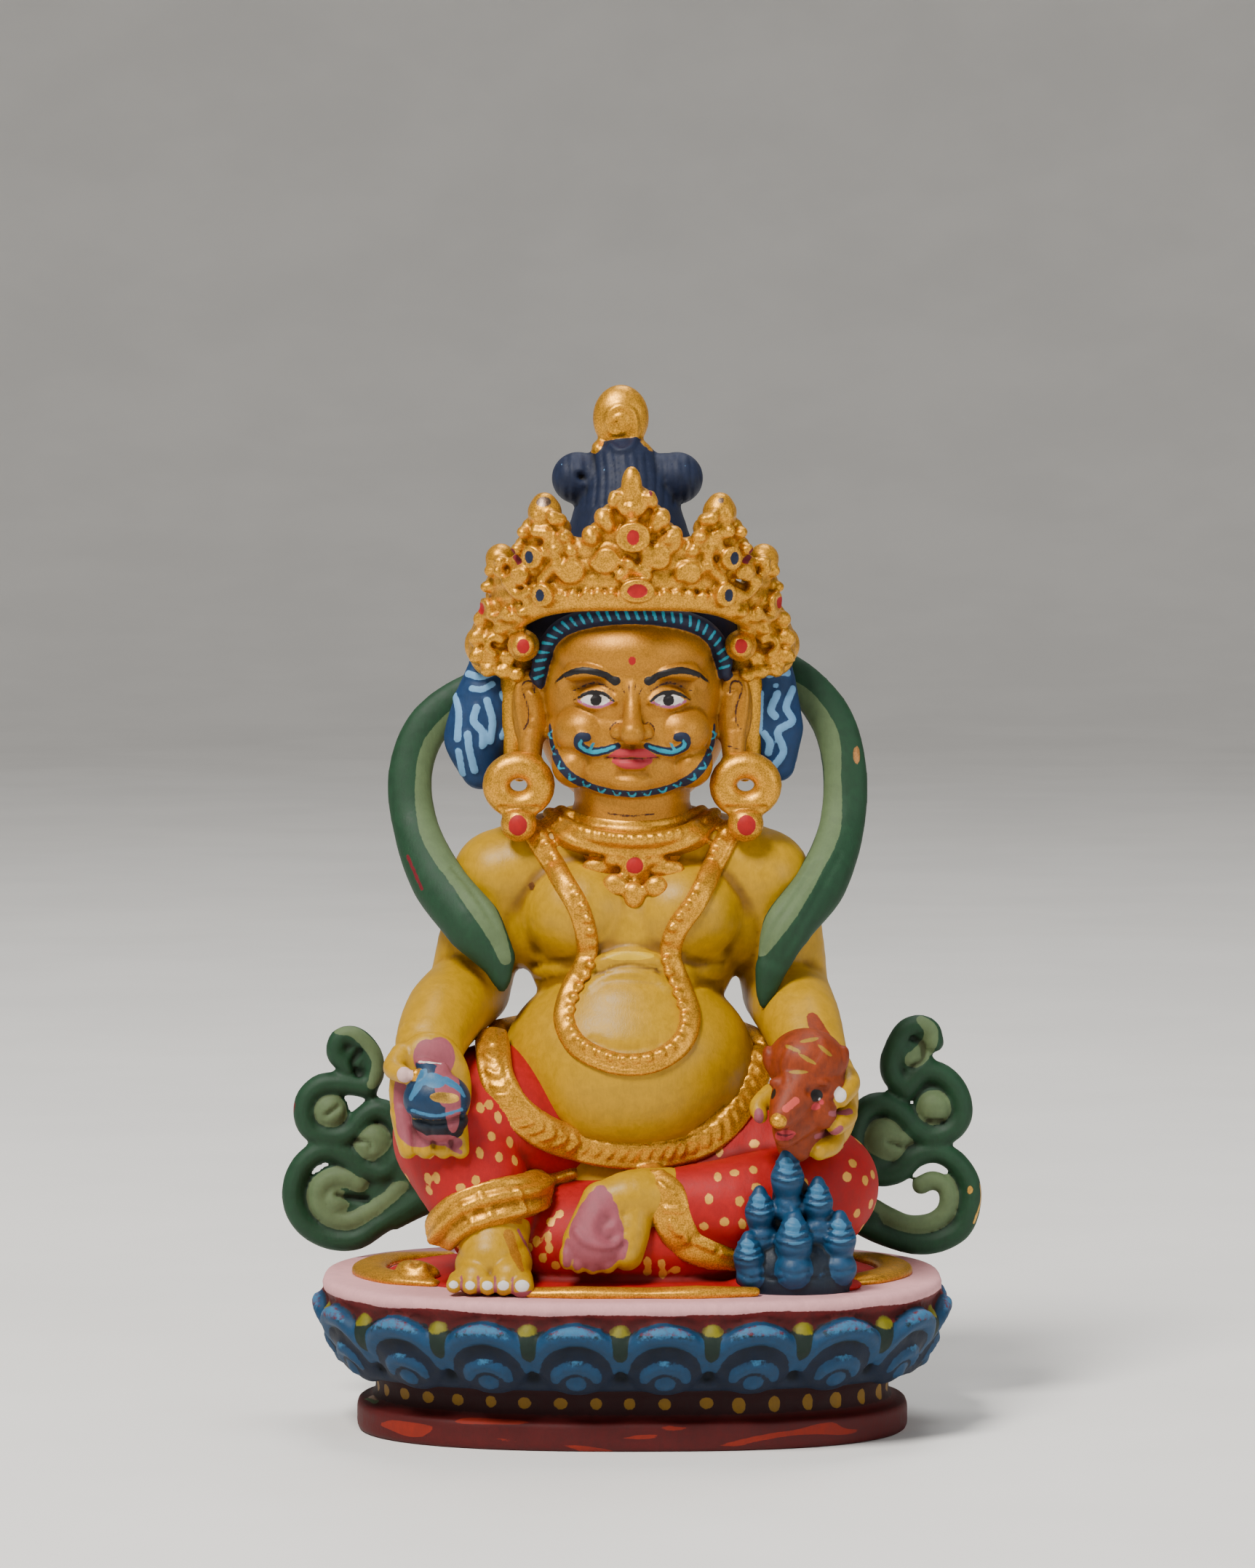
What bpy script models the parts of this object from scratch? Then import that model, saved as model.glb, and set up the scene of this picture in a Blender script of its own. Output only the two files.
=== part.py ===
"""Seated Jambhala statuette on a lotus base, one painted metal casting.

The figure faces -Y and the origin is at the centre of the underside. The base is lofted from its
named sizes. The figure is drawn like an icon on a canon of squares, counted from the lotus to the
finial, so that its pose follows its height: it is heaped from round lumps of clay, melted into one
skin, thinned to a workable mesh and joined to the base.
"""
import math

import bpy
import bmesh
import numpy as np
from mathutils import Euler, Matrix, Vector

MM = 0.001

# Lotus base
RIM_WIDTH = 50.6 * MM
RIM_DEPTH = 35.8 * MM
RIM_HEIGHT = 12.6 * MM
RIM_BAND = 2.4 * MM
RIM_EDGE = 0.45 * MM
BAND_INSET = 0.5 * MM
SLAB_WIDTH = 44.9 * MM
SLAB_DEPTH = 27.6 * MM
SLAB_HEIGHT = 2.3 * MM
SLAB_EDGE = 0.3 * MM
WAIST_INSET = 1.5 * MM
WAIST_HEIGHT = 2.4 * MM
PLAN_SQUARENESS = 2.5
PLAN_SEGMENTS = 48

# Lotus petals
PETAL_COUNT = 19
PETAL_TURN = 0.37
PETAL_GAP = 0.5 * MM
PETAL_SWELL = 1.1 * MM
PETAL_THICKNESS = 2.6 * MM
PETAL_LEAN = 0.7
PETAL_FULLNESS = 0.8
PETAL_TAPER = 0.12

# Figure
FIGURE_HEIGHT = 72.4 * MM
CANON = 71.0
FOOTING = 1.0 * MM
SKIN_GRAIN = 0.30 * MM
SKIN_TRIANGLES = 6150
SCROLL_OVERHANG = 3.7 * MM
SCROLL_MARGIN = 9.5 * MM
CLOTH_MARGIN = 3.4 * MM

SQUARE = FIGURE_HEIGHT / CANON


def clear_scene():
    for item in list(bpy.data.objects):
        bpy.data.objects.remove(item, do_unlink=True)


def new_collection(name):
    collection = bpy.data.collections.new(name)
    bpy.context.scene.collection.children.link(collection)
    return collection


def painted_metal(name, colour, roughness, metallic):
    material = bpy.data.materials.new(name)
    material.use_nodes = True
    shader = material.node_tree.nodes["Principled BSDF"]
    shader.inputs["Base Color"].default_value = (*colour, 1.0)
    shader.inputs["Roughness"].default_value = roughness
    shader.inputs["Metallic"].default_value = metallic
    material.diffuse_color = (*colour, 1.0)
    return material


def add_object(name, bm, collection):
    mesh = bpy.data.meshes.new(name)
    bm.to_mesh(mesh)
    bm.free()
    item = bpy.data.objects.new(name, mesh)
    collection.objects.link(item)
    return item


def evaluated(item):
    """Turn an object's modifiers into plain mesh."""
    graph = bpy.context.evaluated_depsgraph_get()
    mesh = bpy.data.meshes.new_from_object(item.evaluated_get(graph))
    item.modifiers.clear()
    item.data = mesh
    return item


def smooth_path(points, spacing):
    """Catmull-Rom samples along the points, about one spacing apart."""
    points = [Vector(p) for p in points]
    ends = [2 * points[0] - points[1]] + points + [2 * points[-1] - points[-2]]
    samples = []
    for index in range(len(points) - 1):
        a, b, c, d = ends[index:index + 4]
        steps = max(1, math.ceil((c - b).length / spacing))
        for step in range(steps):
            t = step / steps
            samples.append((index + t, 0.5 * (2 * b + (c - a) * t + (2 * a - 5 * b + 4 * c - d) * t * t
                                              + (3 * b - a - 3 * c + d) * t ** 3)))
    samples.append((len(points) - 1, points[-1]))
    return samples


class Clay:
    """Round lumps heaped in the figure's squares, to be melted into one skin."""

    def __init__(self):
        self.lumps = []

    def ball(self, centre, radii, turn=(0, 0, 0)):
        """An ellipsoid, turned by degrees about X, Y and Z."""
        if not hasattr(radii, "__len__"):
            radii = (radii,) * 3
        spin = Euler([math.radians(angle) for angle in turn]).to_matrix()
        self.lumps.append((np.array(centre, float), np.array(spin), np.array(radii, float)))

    def strand(self, points, girth, shape=(1, 1, 1)):
        """A rope of balls through the points, whose girth may change from point to point."""
        if not hasattr(girth, "__len__"):
            girth = [girth] * len(points)
        for place, point in smooth_path(points, 0.45 * min(girth)):
            index = min(int(place), len(points) - 2)
            radius = girth[index] + (girth[index + 1] - girth[index]) * (place - index)
            self.ball(point, [radius * factor for factor in shape])

    def front(self, x, z):
        """How far forward the heap comes at a place seen from the front."""
        nearest = None
        for centre, spin, radii in self.lumps:
            start = (spin.T @ (np.array((x, 0, z)) - centre * (1, 0, 1))) / radii
            ray = (spin.T @ np.array((0, 1, 0))) / radii
            a, b, c = ray @ ray, ray @ start, start @ start - 1
            if b * b > a * c:
                y = centre[1] - (b + math.sqrt(b * b - a * c)) / a
                nearest = y if nearest is None else min(nearest, y)
        return nearest

    def drape(self, places, girth, shape=(1, 1, 1), lift=0.0):
        """A strand laid over the front of the heap through places given as x and z."""
        outline = smooth_path([(x, 0, z) for x, z in places], 1.2)
        if not hasattr(girth, "__len__"):
            girth = [girth] * len(places)
        points, girths = [], []
        for place, (x, _, z) in outline:
            y = self.front(x, z)
            if y is not None:
                index = min(int(place), len(places) - 2)
                points.append((x, y - lift, z))
                girths.append(girth[index] + (girth[index + 1] - girth[index]) * (place - index))
        self.strand(points, girths, shape)

    def melt(self, name, collection, unit, grain, floor):
        """Make a ball for every lump, melt the heap with a voxel remesh and smooth it."""
        bm = bmesh.new()
        for first in range(0, len(self.lumps), 50):
            handful = bmesh.new()
            for centre, spin, radii in self.lumps[first:first + 50]:
                stretch = Matrix.Diagonal(Vector(radii)).to_4x4()
                place = Matrix.Translation(centre) @ Matrix(spin.tolist()).to_4x4() @ stretch
                bmesh.ops.create_icosphere(handful, subdivisions=3, radius=1.0, matrix=place)
            mesh = bpy.data.meshes.new("handful")
            handful.to_mesh(mesh)
            handful.free()
            bm.from_mesh(mesh)
            bpy.data.meshes.remove(mesh)
        bm.transform(Matrix.Scale(unit, 4))
        item = add_object(name, bm, collection)
        item.location.z = floor
        skin = item.modifiers.new("Melt", 'REMESH')
        skin.mode = 'VOXEL'
        skin.voxel_size = grain
        soft = item.modifiers.new("Smooth", 'SMOOTH')
        soft.factor = 0.5
        soft.iterations = 1
        return item


def plan_point(width, depth, angle):
    """A point on the base's plan, an oval with squared shoulders."""
    power = 2 / PLAN_SQUARENESS
    across, along = math.sin(angle), -math.cos(angle)
    return Vector((math.copysign(abs(across) ** power, across) * width / 2,
                   math.copysign(abs(along) ** power, along) * depth / 2, 0))


def plan_angles(count, turn=0.0):
    """Angles that space the points evenly along the rim's outline, the first a share of a step round."""
    fine = 1440
    angles = [math.tau * step / fine for step in range(fine + 1)]
    outline = [plan_point(RIM_WIDTH, RIM_DEPTH, angle) for angle in angles]
    lengths = np.concatenate(([0], np.cumsum([(b - a).length for a, b in zip(outline, outline[1:])])))
    return list(np.interp((np.arange(count) + turn) * lengths[-1] / count, lengths, angles))


def loft(sections):
    """Bridge plan outlines, each a width, a depth and a height, and close both ends."""
    bm = bmesh.new()
    rings = []
    for width, depth, height in sections:
        ring = []
        for angle in plan_angles(PLAN_SEGMENTS):
            ring.append(bm.verts.new(plan_point(width, depth, angle) + Vector((0, 0, height))))
        for start, end in zip(ring, ring[1:] + ring[:1]):
            bm.edges.new((start, end))
        rings.append(ring)
    for lower, upper in zip(rings, rings[1:]):
        edges = []
        for ring in (lower, upper):
            edges += [bm.edges.get(pair) for pair in zip(ring, ring[1:] + ring[:1])]
        bmesh.ops.bridge_loops(bm, edges=edges)
    bm.faces.new(rings[0])
    bm.faces.new(rings[-1])
    bmesh.ops.recalc_face_normals(bm, faces=bm.faces)
    return bm


def inset(width, depth, amount, height):
    """A plan section drawn in from a width and a depth."""
    return width - 2 * amount, depth - 2 * amount, height


def bowl_section(share):
    """The lotus bowl's plan at a share of its height, from the waist to where it meets the band."""
    foot = inset(SLAB_WIDTH, SLAB_DEPTH, WAIST_INSET * 0.8, SLAB_HEIGHT + WAIST_HEIGHT)
    brim = inset(RIM_WIDTH, RIM_DEPTH, PETAL_SWELL, RIM_HEIGHT - RIM_BAND)
    flare = math.sin(min(share / 0.8, 1) * math.pi / 2)
    return [low + (high - low) * part for low, high, part in zip(foot, brim, (flare, flare, share))]


def base_sections():
    """Slab, waist, lotus bowl, plain band and rounded rim, from the underside up."""
    band_floor = RIM_HEIGHT - RIM_BAND
    sections = [
        (SLAB_WIDTH, SLAB_DEPTH, 0),
        (SLAB_WIDTH, SLAB_DEPTH, SLAB_HEIGHT - SLAB_EDGE),
        inset(SLAB_WIDTH, SLAB_DEPTH, SLAB_EDGE, SLAB_HEIGHT),
        inset(SLAB_WIDTH, SLAB_DEPTH, WAIST_INSET * 0.75, SLAB_HEIGHT + 0.12 * WAIST_HEIGHT),
        inset(SLAB_WIDTH, SLAB_DEPTH, WAIST_INSET, SLAB_HEIGHT + 0.45 * WAIST_HEIGHT),
        bowl_section(0.0),
        bowl_section(0.32),
        bowl_section(0.64),
        inset(RIM_WIDTH, RIM_DEPTH, BAND_INSET, band_floor),
        inset(RIM_WIDTH, RIM_DEPTH, BAND_INSET, band_floor + 0.4 * RIM_BAND),
        (RIM_WIDTH, RIM_DEPTH, band_floor + 0.6 * RIM_BAND),
        (RIM_WIDTH, RIM_DEPTH, RIM_HEIGHT - RIM_EDGE),
        inset(RIM_WIDTH, RIM_DEPTH, RIM_EDGE, RIM_HEIGHT)]
    return sections


def unite(item, tool):
    """Join a closed lump to the object with a Boolean union."""
    join = item.modifiers.new("Join " + tool.name, 'BOOLEAN')
    join.operation = 'UNION'
    join.object = tool
    evaluated(item)


def petal_pitch():
    outline = [plan_point(RIM_WIDTH, RIM_DEPTH, angle) for angle in plan_angles(PETAL_COUNT * 8)]
    return sum((b - a).length for a, b in zip(outline, outline[1:] + outline[:1])) / PETAL_COUNT


def bowl_point(angle, share):
    width, depth, height = bowl_section(share)
    return plan_point(width, depth, angle) + Vector((0, 0, height))


def petal_frame(angle):
    """Place and heading on the bowl's wall a little above its middle, and the wall's slope there."""
    step = 0.001
    here = plan_point(RIM_WIDTH, RIM_DEPTH, angle)
    along = (plan_point(RIM_WIDTH, RIM_DEPTH, angle + step) - here).normalized()
    outward = Vector((along.y, -along.x, 0))
    wall = bowl_point(angle, 0.8) - bowl_point(angle, 0)
    return bowl_point(angle, 0.53), along, outward, math.atan2(wall.dot(outward), wall.z)


def add_petals(base, forms):
    """A ring of plump petals seated in the bowl's wall, which lean out with it."""
    height = RIM_HEIGHT - RIM_BAND - SLAB_HEIGHT - WAIST_HEIGHT
    half_width = (petal_pitch() - PETAL_GAP) / 2
    for angle in plan_angles(PETAL_COUNT, PETAL_TURN):
        centre, along, outward, slope = petal_frame(angle)
        heading = Matrix((along, outward, Vector((0, 0, 1)))).transposed().to_4x4()
        tilt = PETAL_LEAN * slope
        lean = Matrix.Rotation(-tilt, 4, 'X')
        size = Matrix.Diagonal((half_width, 0.5 * PETAL_THICKNESS, 0.5 * height / math.cos(tilt), 1))
        bm = bmesh.new()
        bmesh.ops.create_uvsphere(bm, u_segments=10, v_segments=6, radius=1.0)
        for vertex in bm.verts:
            vertex.co = [math.copysign(abs(part) ** PETAL_FULLNESS, part) for part in vertex.co]
            vertex.co.x *= 1 + PETAL_TAPER * vertex.co.z
        bm.transform(Matrix.Translation(centre) @ heading @ lean @ size)
        unite(base, add_object("petal_form", bm, forms))


def torso(clay):
    clay.ball((0, 1.2, 7), (11.5, 8, 7.5))
    clay.ball((0, 1.0, 13), (9.8, 7.2, 8.5))
    clay.ball((-0.3, -1.3, 16.8), (10.3, 8.3, 8.3))
    clay.ball((0, 0.8, 26.5), (8.7, 6.0, 8.5))
    for side in (-1, 1):
        clay.ball((side * 8.4, 1.0, 28.8), (3.2, 3.6, 4.6))
        clay.ball((side * 4.0, -1.6, 29.4), (4.9, 4.3, 4.6))
        clay.strand([(0, 1.2, 34.4), (side * 5.5, 1.2, 33.4), (side * 10.3, 1.0, 31.7)], [3.6, 3.7, 3.9])
    clay.strand([(0, 0.8, 34), (0, -0.2, 40)], 5.3, (1, 0.95, 1))


def left_arm(clay):
    clay.strand([(-10.6, 1.0, 31.6), (-12.0, 1.6, 27), (-12.9, 2.0, 22.6)], [3.9, 3.5, 3.3])
    clay.strand([(-12.9, 2.0, 22.6), (-15.0, -4.0, 20.6), (-15.6, -9.0, 18.6)], [3.3, 3.1, 2.6])
    clay.ball((-15.7, -11.4, 15.9), (3.5, 1.6, 4.9))
    for finger in range(4):
        x = -18.0 + 1.55 * finger
        clay.strand([(x, -12, 14), (x + 0.6, -12.8, 11.9)], [0.9, 0.75])
    clay.strand([(-18.2, -11.5, 19.0), (-18.9, -13.2, 17.9), (-17.8, -14.3, 17.2)], [1.0, 0.95, 0.85])
    clay.ball((-15.3, -13.6, 15.3), (2.8, 2.4, 3.1))


def right_arm(clay):
    clay.strand([(10.4, 1.0, 31.6), (11.5, 1.8, 27), (12.2, 2.4, 22.4)], [3.9, 3.7, 3.5])
    clay.strand([(12.2, 2.4, 22.4), (13.6, -3.5, 20.4), (14.5, -8.5, 17.6)], [3.5, 3.1, 2.7])
    clay.ball((14.9, -9.8, 14.6), (3.2, 2.4, 4.4))
    clay.strand([(16.6, -9.5, 16.6), (17.3, -11.4, 15.6), (16.6, -12.9, 14.4)], 1.0)
    clay.strand([(15.6, -9.5, 12.0), (15.9, -11.2, 11.4), (15.0, -12.4, 11.4)], 1.0)


def mongoose(clay):
    """Head with brow, snout, chin and ears, looking down at the jewels it spits."""
    clay.ball((13.6, -11.8, 17.8), (3.2, 3.0, 2.9))
    clay.strand([(13.2, -12.8, 16.2), (12.2, -14.4, 14.8), (11.5, -15.4, 13.9)], [2.4, 1.6, 1.0])
    clay.strand([(13.2, -12.6, 14.0), (12.0, -14.4, 12.3)], [2.0, 1.0])
    clay.ball((13.2, -11.0, 12.6), (2.1, 1.9, 2.4))
    for side in (-1, 1):
        clay.ball((13.6 + side * 2.8, -12.2, 18.3), (0.7, 0.8, 1.2))
        clay.ball((12.9 + side * 1.7, -13.8, 16.7), (0.8, 0.7, 0.6))


def jewels(clay):
    """A heap of onion-shaped jewels, each a neck drawn up from a round belly."""
    clay.ball((12.8, -10.8, 0.8), (4.9, 3.2, 4.0))
    clay.ball((12.4, -10.6, 7.0), (1.9, 1.5, 2.6))
    heap = ((12.1, -12.8, 9.3, 1.4), (14.5, -12.2, 7.4, 1.3), (9.9, -12.2, 6.6, 1.25),
            (12.6, -13.2, 4.3, 1.55), (16.3, -12.0, 4.3, 1.4), (9.0, -12.8, 3.1, 1.25),
            (14.9, -12.8, 1.8, 1.2), (11.2, -13.0, 1.9, 1.2))
    for x, y, z, girth in heap:
        clay.strand([(x, y, z - 0.3 * girth), (x, y - 0.2, z + girth)], [girth, 0.55 * girth])


def left_leg(clay):
    clay.strand([(-6.5, 0.5, 11.5), (-10.8, -3.5, 12.6), (-14.0, -7.0, 11.6)], [7.0, 6.2, 5.0])
    clay.strand([(-14.0, -7.0, 11.4), (-12.4, -8.4, 8.0), (-10.6, -8.6, 5.2)], [5.0, 4.4, 3.4])
    clay.strand([(-10.4, -8.4, 4.2), (-10.8, -11.2, 3.0), (-11.0, -13.2, 1.6)], [3.1, 2.8, 1.7], (1.1, 1, 1))
    for toe in range(5):
        size = 0.72 + 0.08 * toe
        clay.ball((-13.7 + 1.38 * toe, -14.4 - 0.12 * toe, 0.95), (size, 1.15, 0.85))


def right_leg(clay):
    clay.strand([(6.5, 0.5, 9.5), (11.5, -1.5, 8.2), (14.6, -4.0, 7.3)], [7.0, 5.8, 4.8])
    clay.strand([(14.4, -4.6, 6.6), (9.0, -8.2, 6.4), (3.6, -9.4, 6.6)], [4.6, 4.0, 3.0])
    clay.strand([(2.6, -9.4, 6.8), (-1.2, -10.4, 7.6)], [2.8, 2.3])
    sole = [(-1.6, -10.8, 7.4), (-1.8, -11.8, 5.6), (-1.9, -12.2, 4.0)]
    clay.strand(sole, [2.3, 2.2, 2.4], (1.15, 0.8, 1))
    for toe in range(5):
        size = 0.85 - 0.07 * toe
        clay.ball((0.9 - 1.33 * toe, -12.8, 2.6 + 0.05 * toe), (size, 0.85, 1.1))


def skirt(clay):
    """The cloth over the lap, its hems, and its spread on the lotus as far as a margin from the rim."""
    across = (RIM_WIDTH / 2 - CLOTH_MARGIN) / SQUARE
    along = (RIM_DEPTH / 2 - CLOTH_MARGIN) / SQUARE
    clay.ball((0, -3.5, 3.2), (15.5, 8.0, 5.0))
    clay.ball((0, -0.5, 0.2), (0.96 * across, 0.9 * along, 0.9))
    for side in (-1, 1):
        edge = [(side * share * across, y, 0.1) for share, y in ((0.6, 6), (0.94, 3), (0.97, -2), (0.8, -8))]
        clay.strand(edge, [1.2, 1.6, 1.5, 1.2], (1, 1, 0.5))
    clay.strand([(-8, -0.88 * along, 0.1), (-2, -0.94 * along, 0.1), (5, -0.94 * along, 0.1),
                 (12, -0.87 * along, 0.1)], 1.1, (1, 1, 0.7))
    left_hem = [(-15.0, 4.4), (-12.8, 6.8), (-9.0, 7.4), (-5.8, 8.8)]
    right_hem = [(3.4, 9.6), (4.4, 7.0), (6.4, 4.4), (9.4, 2.6)]
    clay.drape(left_hem, [1.1, 1.3, 1.3, 1.0], (1, 0.6, 1), 0.2)
    clay.drape(right_hem, [1.1, 1.5, 1.6, 1.2], (1, 0.6, 1), 0.2)


def belt(clay):
    front = [(-10.6, 18.6), (-9.4, 14.4), (-6.2, 11.2), (-0.3, 10.0), (6, 10.9), (9.6, 14.4), (10.7, 17.6)]
    back = [(-10.6, 0.5, 18.6), (-8.2, 4.0, 18.7), (-4.5, 6.2, 18.8), (0, 6.9, 18.8), (4.5, 6.2, 18.6),
            (8.2, 4.0, 18.2), (10.7, 0.5, 17.6)]
    clay.drape(front, 1.15, (1, 0.7, 1), 0.1)
    clay.strand(back, 1.0, (1, 1, 1.1))


def necklaces(clay):
    collar = [(-6.9, 36.6), (-4.8, 35.2), (0, 34.0), (4.6, 35.1), (6.5, 36.4)]
    clay.drape(collar, 0.75, (1, 0.8, 1))
    loop = [(-8.2, 34.6), (-6.2, 31.6), (-3.9, 28.2), (-3.0, 25.6), (-4.6, 23.2), (-5.5, 20.8),
            (-4.4, 18.6), (-0.4, 17.4), (4.0, 18.4), (5.0, 20.8), (4.4, 23.0), (3.2, 25.2),
            (3.3, 27.6), (5.6, 31.0), (8.4, 34.6)]
    clay.drape(loop, 0.8, (1, 0.8, 1))
    clay.drape([(-1.0, 33.2), (0.4, 32.6), (1.8, 33.2)], [0.9, 1.1, 0.9], (1, 0.8, 1), 0.2)


def head(clay):
    """Skull, cheeks and chin in thirds from hairline to chin, and long ears."""
    clay.ball((0, 0.4, 46.9), (7.2, 7.2, 7.6))
    clay.ball((0, -0.9, 43.2), (6.5, 6.0, 5.3))
    clay.ball((0, -3.6, 40.1), (3.4, 2.9, 2.3))
    clay.ball((0, 3.2, 45.5), (7.9, 5.0, 9.0))
    clay.strand([(0, -6.3, 46.6), (0, -7.2, 43.0)], [0.6, 1.05])
    for side in (-1, 1):
        clay.ball((side * 0.95, -6.7, 42.7), (0.75, 0.8, 0.65))
        clay.ball((side * 2.8, -6.0, 45.5), (1.5, 0.8, 0.85))
        clay.strand([(side * 1.2, -6.5, 46.7), (side * 3.2, -6.2, 47.1), (side * 5.2, -4.9, 46.4)], 0.55)
        clay.strand([(side * 8.0, -0.8, 47.2), (side * 8.3, -0.8, 44.8), (side * 8.0, -1.8, 41.4)],
                    [1.2, 1.3, 1.0], (0.9, 1, 1))
    clay.strand([(-1.5, -6.2, 40.9), (0, -6.8, 40.9), (1.5, -6.2, 40.9)], 0.55)


def ring(clay, centre, radii, girth, turn=0.0):
    points = []
    for step in range(25):
        angle = math.tau * step / 24
        across = radii[0] * math.cos(angle)
        points.append((centre[0] + across * math.cos(turn), centre[1] + across * math.sin(turn),
                       centre[2] + radii[1] * math.sin(angle)))
    clay.strand(points, girth)


def earrings(clay):
    for side in (-1, 1):
        ring(clay, (side * 8.9, -2.6, 39.2), (1.95, 1.7), 0.98)
        clay.ball((side * 9.2, -3.0, 36.2), (1.5, 1.3, 1.45))


def crown_place(angle, height):
    """A place on the crown, which flares as it rises, at an angle from the front."""
    flare = 0.10 * (height - 54)
    return ((11.0 + flare) * math.sin(angle), 1.2 - (8.6 + flare) * math.cos(angle), height)


def crown_leaf(clay, degrees, foot, tip, half_width, bud):
    """A leaf of stacked scales that narrows to a bud at its tip."""
    angle = math.radians(degrees)
    rise = tip - foot
    for share in (0.0, 0.25, 0.5, 0.72):
        half = half_width * (1 - share)
        height = foot + rise * share
        clay.ball(crown_place(angle, height), (half, 0.85, rise * 0.2), (0, 0, degrees))
        for side in (-1, 1):
            reach = side * (half - 0.3) / 11.0
            clay.ball(crown_place(angle + reach, height), (0.75, 0.95, 0.85), (0, 0, degrees))
    clay.strand([crown_place(angle, foot + rise * 0.72), crown_place(angle, tip - bud)], [1.3 * bud, bud])


def crown(clay):
    """Band, wall and five leaves, with a gilt fan behind each ear."""
    band = []
    for degrees in range(-90, 91, 10):
        angle = math.radians(degrees)
        band.append(crown_place(angle, 53.9 - 2.6 * math.sin(angle) ** 2))
    clay.strand(band, 0.95)
    clay.strand([(x, y, z + 1.7) for x, y, z in band], 1.0)
    for height, reach in ((57.0, 48), (58.2, 20)):
        clay.strand([crown_place(math.radians(turn), height) for turn in range(-reach, reach + 1, 8)], 1.0)
    tie = [(10.2 * math.cos(math.radians(turn)), 1.0 + 8.1 * math.sin(math.radians(turn)), 51.4)
           for turn in range(0, 181, 15)]
    clay.strand(tie, 0.9, (1, 1, 1.3))
    crown_leaf(clay, 0, 58.0, 64.6, 4.1, 0.8)
    for side in (-1, 1):
        crown_leaf(clay, side * 36, 56.8, 62.5, 3.6, 1.1)
        crown_leaf(clay, side * 67, 54.2, 58.3, 2.8, 1.0)
        clay.ball((side * 10.6, 0.4, 51.2), (2.3, 1.2, 3.6), (0, side * -18, 0))
        clay.ball((side * 12.3, 0.8, 50.2), (1.2, 1.0, 1.6))
        clay.ball((side * 9.0, 0.8, 45.4), (1.9, 1.7, 6.2))
        clay.ball((side * 8.6, -3.4, 50.3), (1.3, 1.1, 1.3))


def hair(clay):
    """The bun with its bow and finial, and the two side tufts."""
    clay.ball((0, 2.2, 51.2), (9.4, 7.2, 7.4))
    clay.strand([(-0.3, 1.5, 56), (-0.4, 1.5, 60.6), (-0.6, 1.5, 64)], [4.6, 2.7, 2.75])
    clay.strand([(-4.2, 1.5, 63.5), (3.4, 1.5, 63.5)], 2.05, (1, 0.95, 1))
    clay.ball((-0.9, 1.5, 68.3), (2.3, 1.6, 2.7))
    clay.strand([(-11.6, 1.2, 48.6), (-11.8, 1.2, 45.6), (-12.3, 1.2, 42.8), (-12.1, 1.0, 40.4)],
                [1.6, 2.3, 2.6, 1.6], (1, 0.7, 1))
    clay.strand([(10.9, 1.2, 50.6), (11.3, 1.2, 47.2), (11.5, 1.2, 43.6), (11.7, 1.0, 40.6)],
                [1.3, 1.9, 2.2, 1.3], (1, 0.7, 1))
    for side in (-1, 1):
        clay.strand([(side * 6, 3, 48), (side * 10.5, 1.8, 46.5)], [3.0, 1.8])


def sashes(clay):
    """The scarf that loops out from behind the head, over the upper arms to the chest."""
    left = [(-6.5, 5.4, 47.5), (-12.2, 4.4, 46.6), (-16.2, 3.8, 43.8), (-17.7, 3.2, 39.8),
            (-17.2, 2.0, 35.6), (-15.0, -1.0, 31.2), (-12.2, -3.8, 28.0), (-10.4, -4.6, 25.2)]
    right = [(6.5, 5.4, 49), (11.9, 4.6, 48.2), (15.6, 3.9, 44.8), (17.0, 3.2, 40.6), (16.6, 2.0, 35.6),
             (14.5, -1.0, 31.0), (11.8, -3.8, 27.6), (10.3, -4.6, 24.6)]
    for path in (left, right):
        clay.strand(path, [1.2, 1.5, 1.75, 1.8, 1.8, 2.0, 2.2, 1.4], (1, 0.62, 1))


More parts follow.
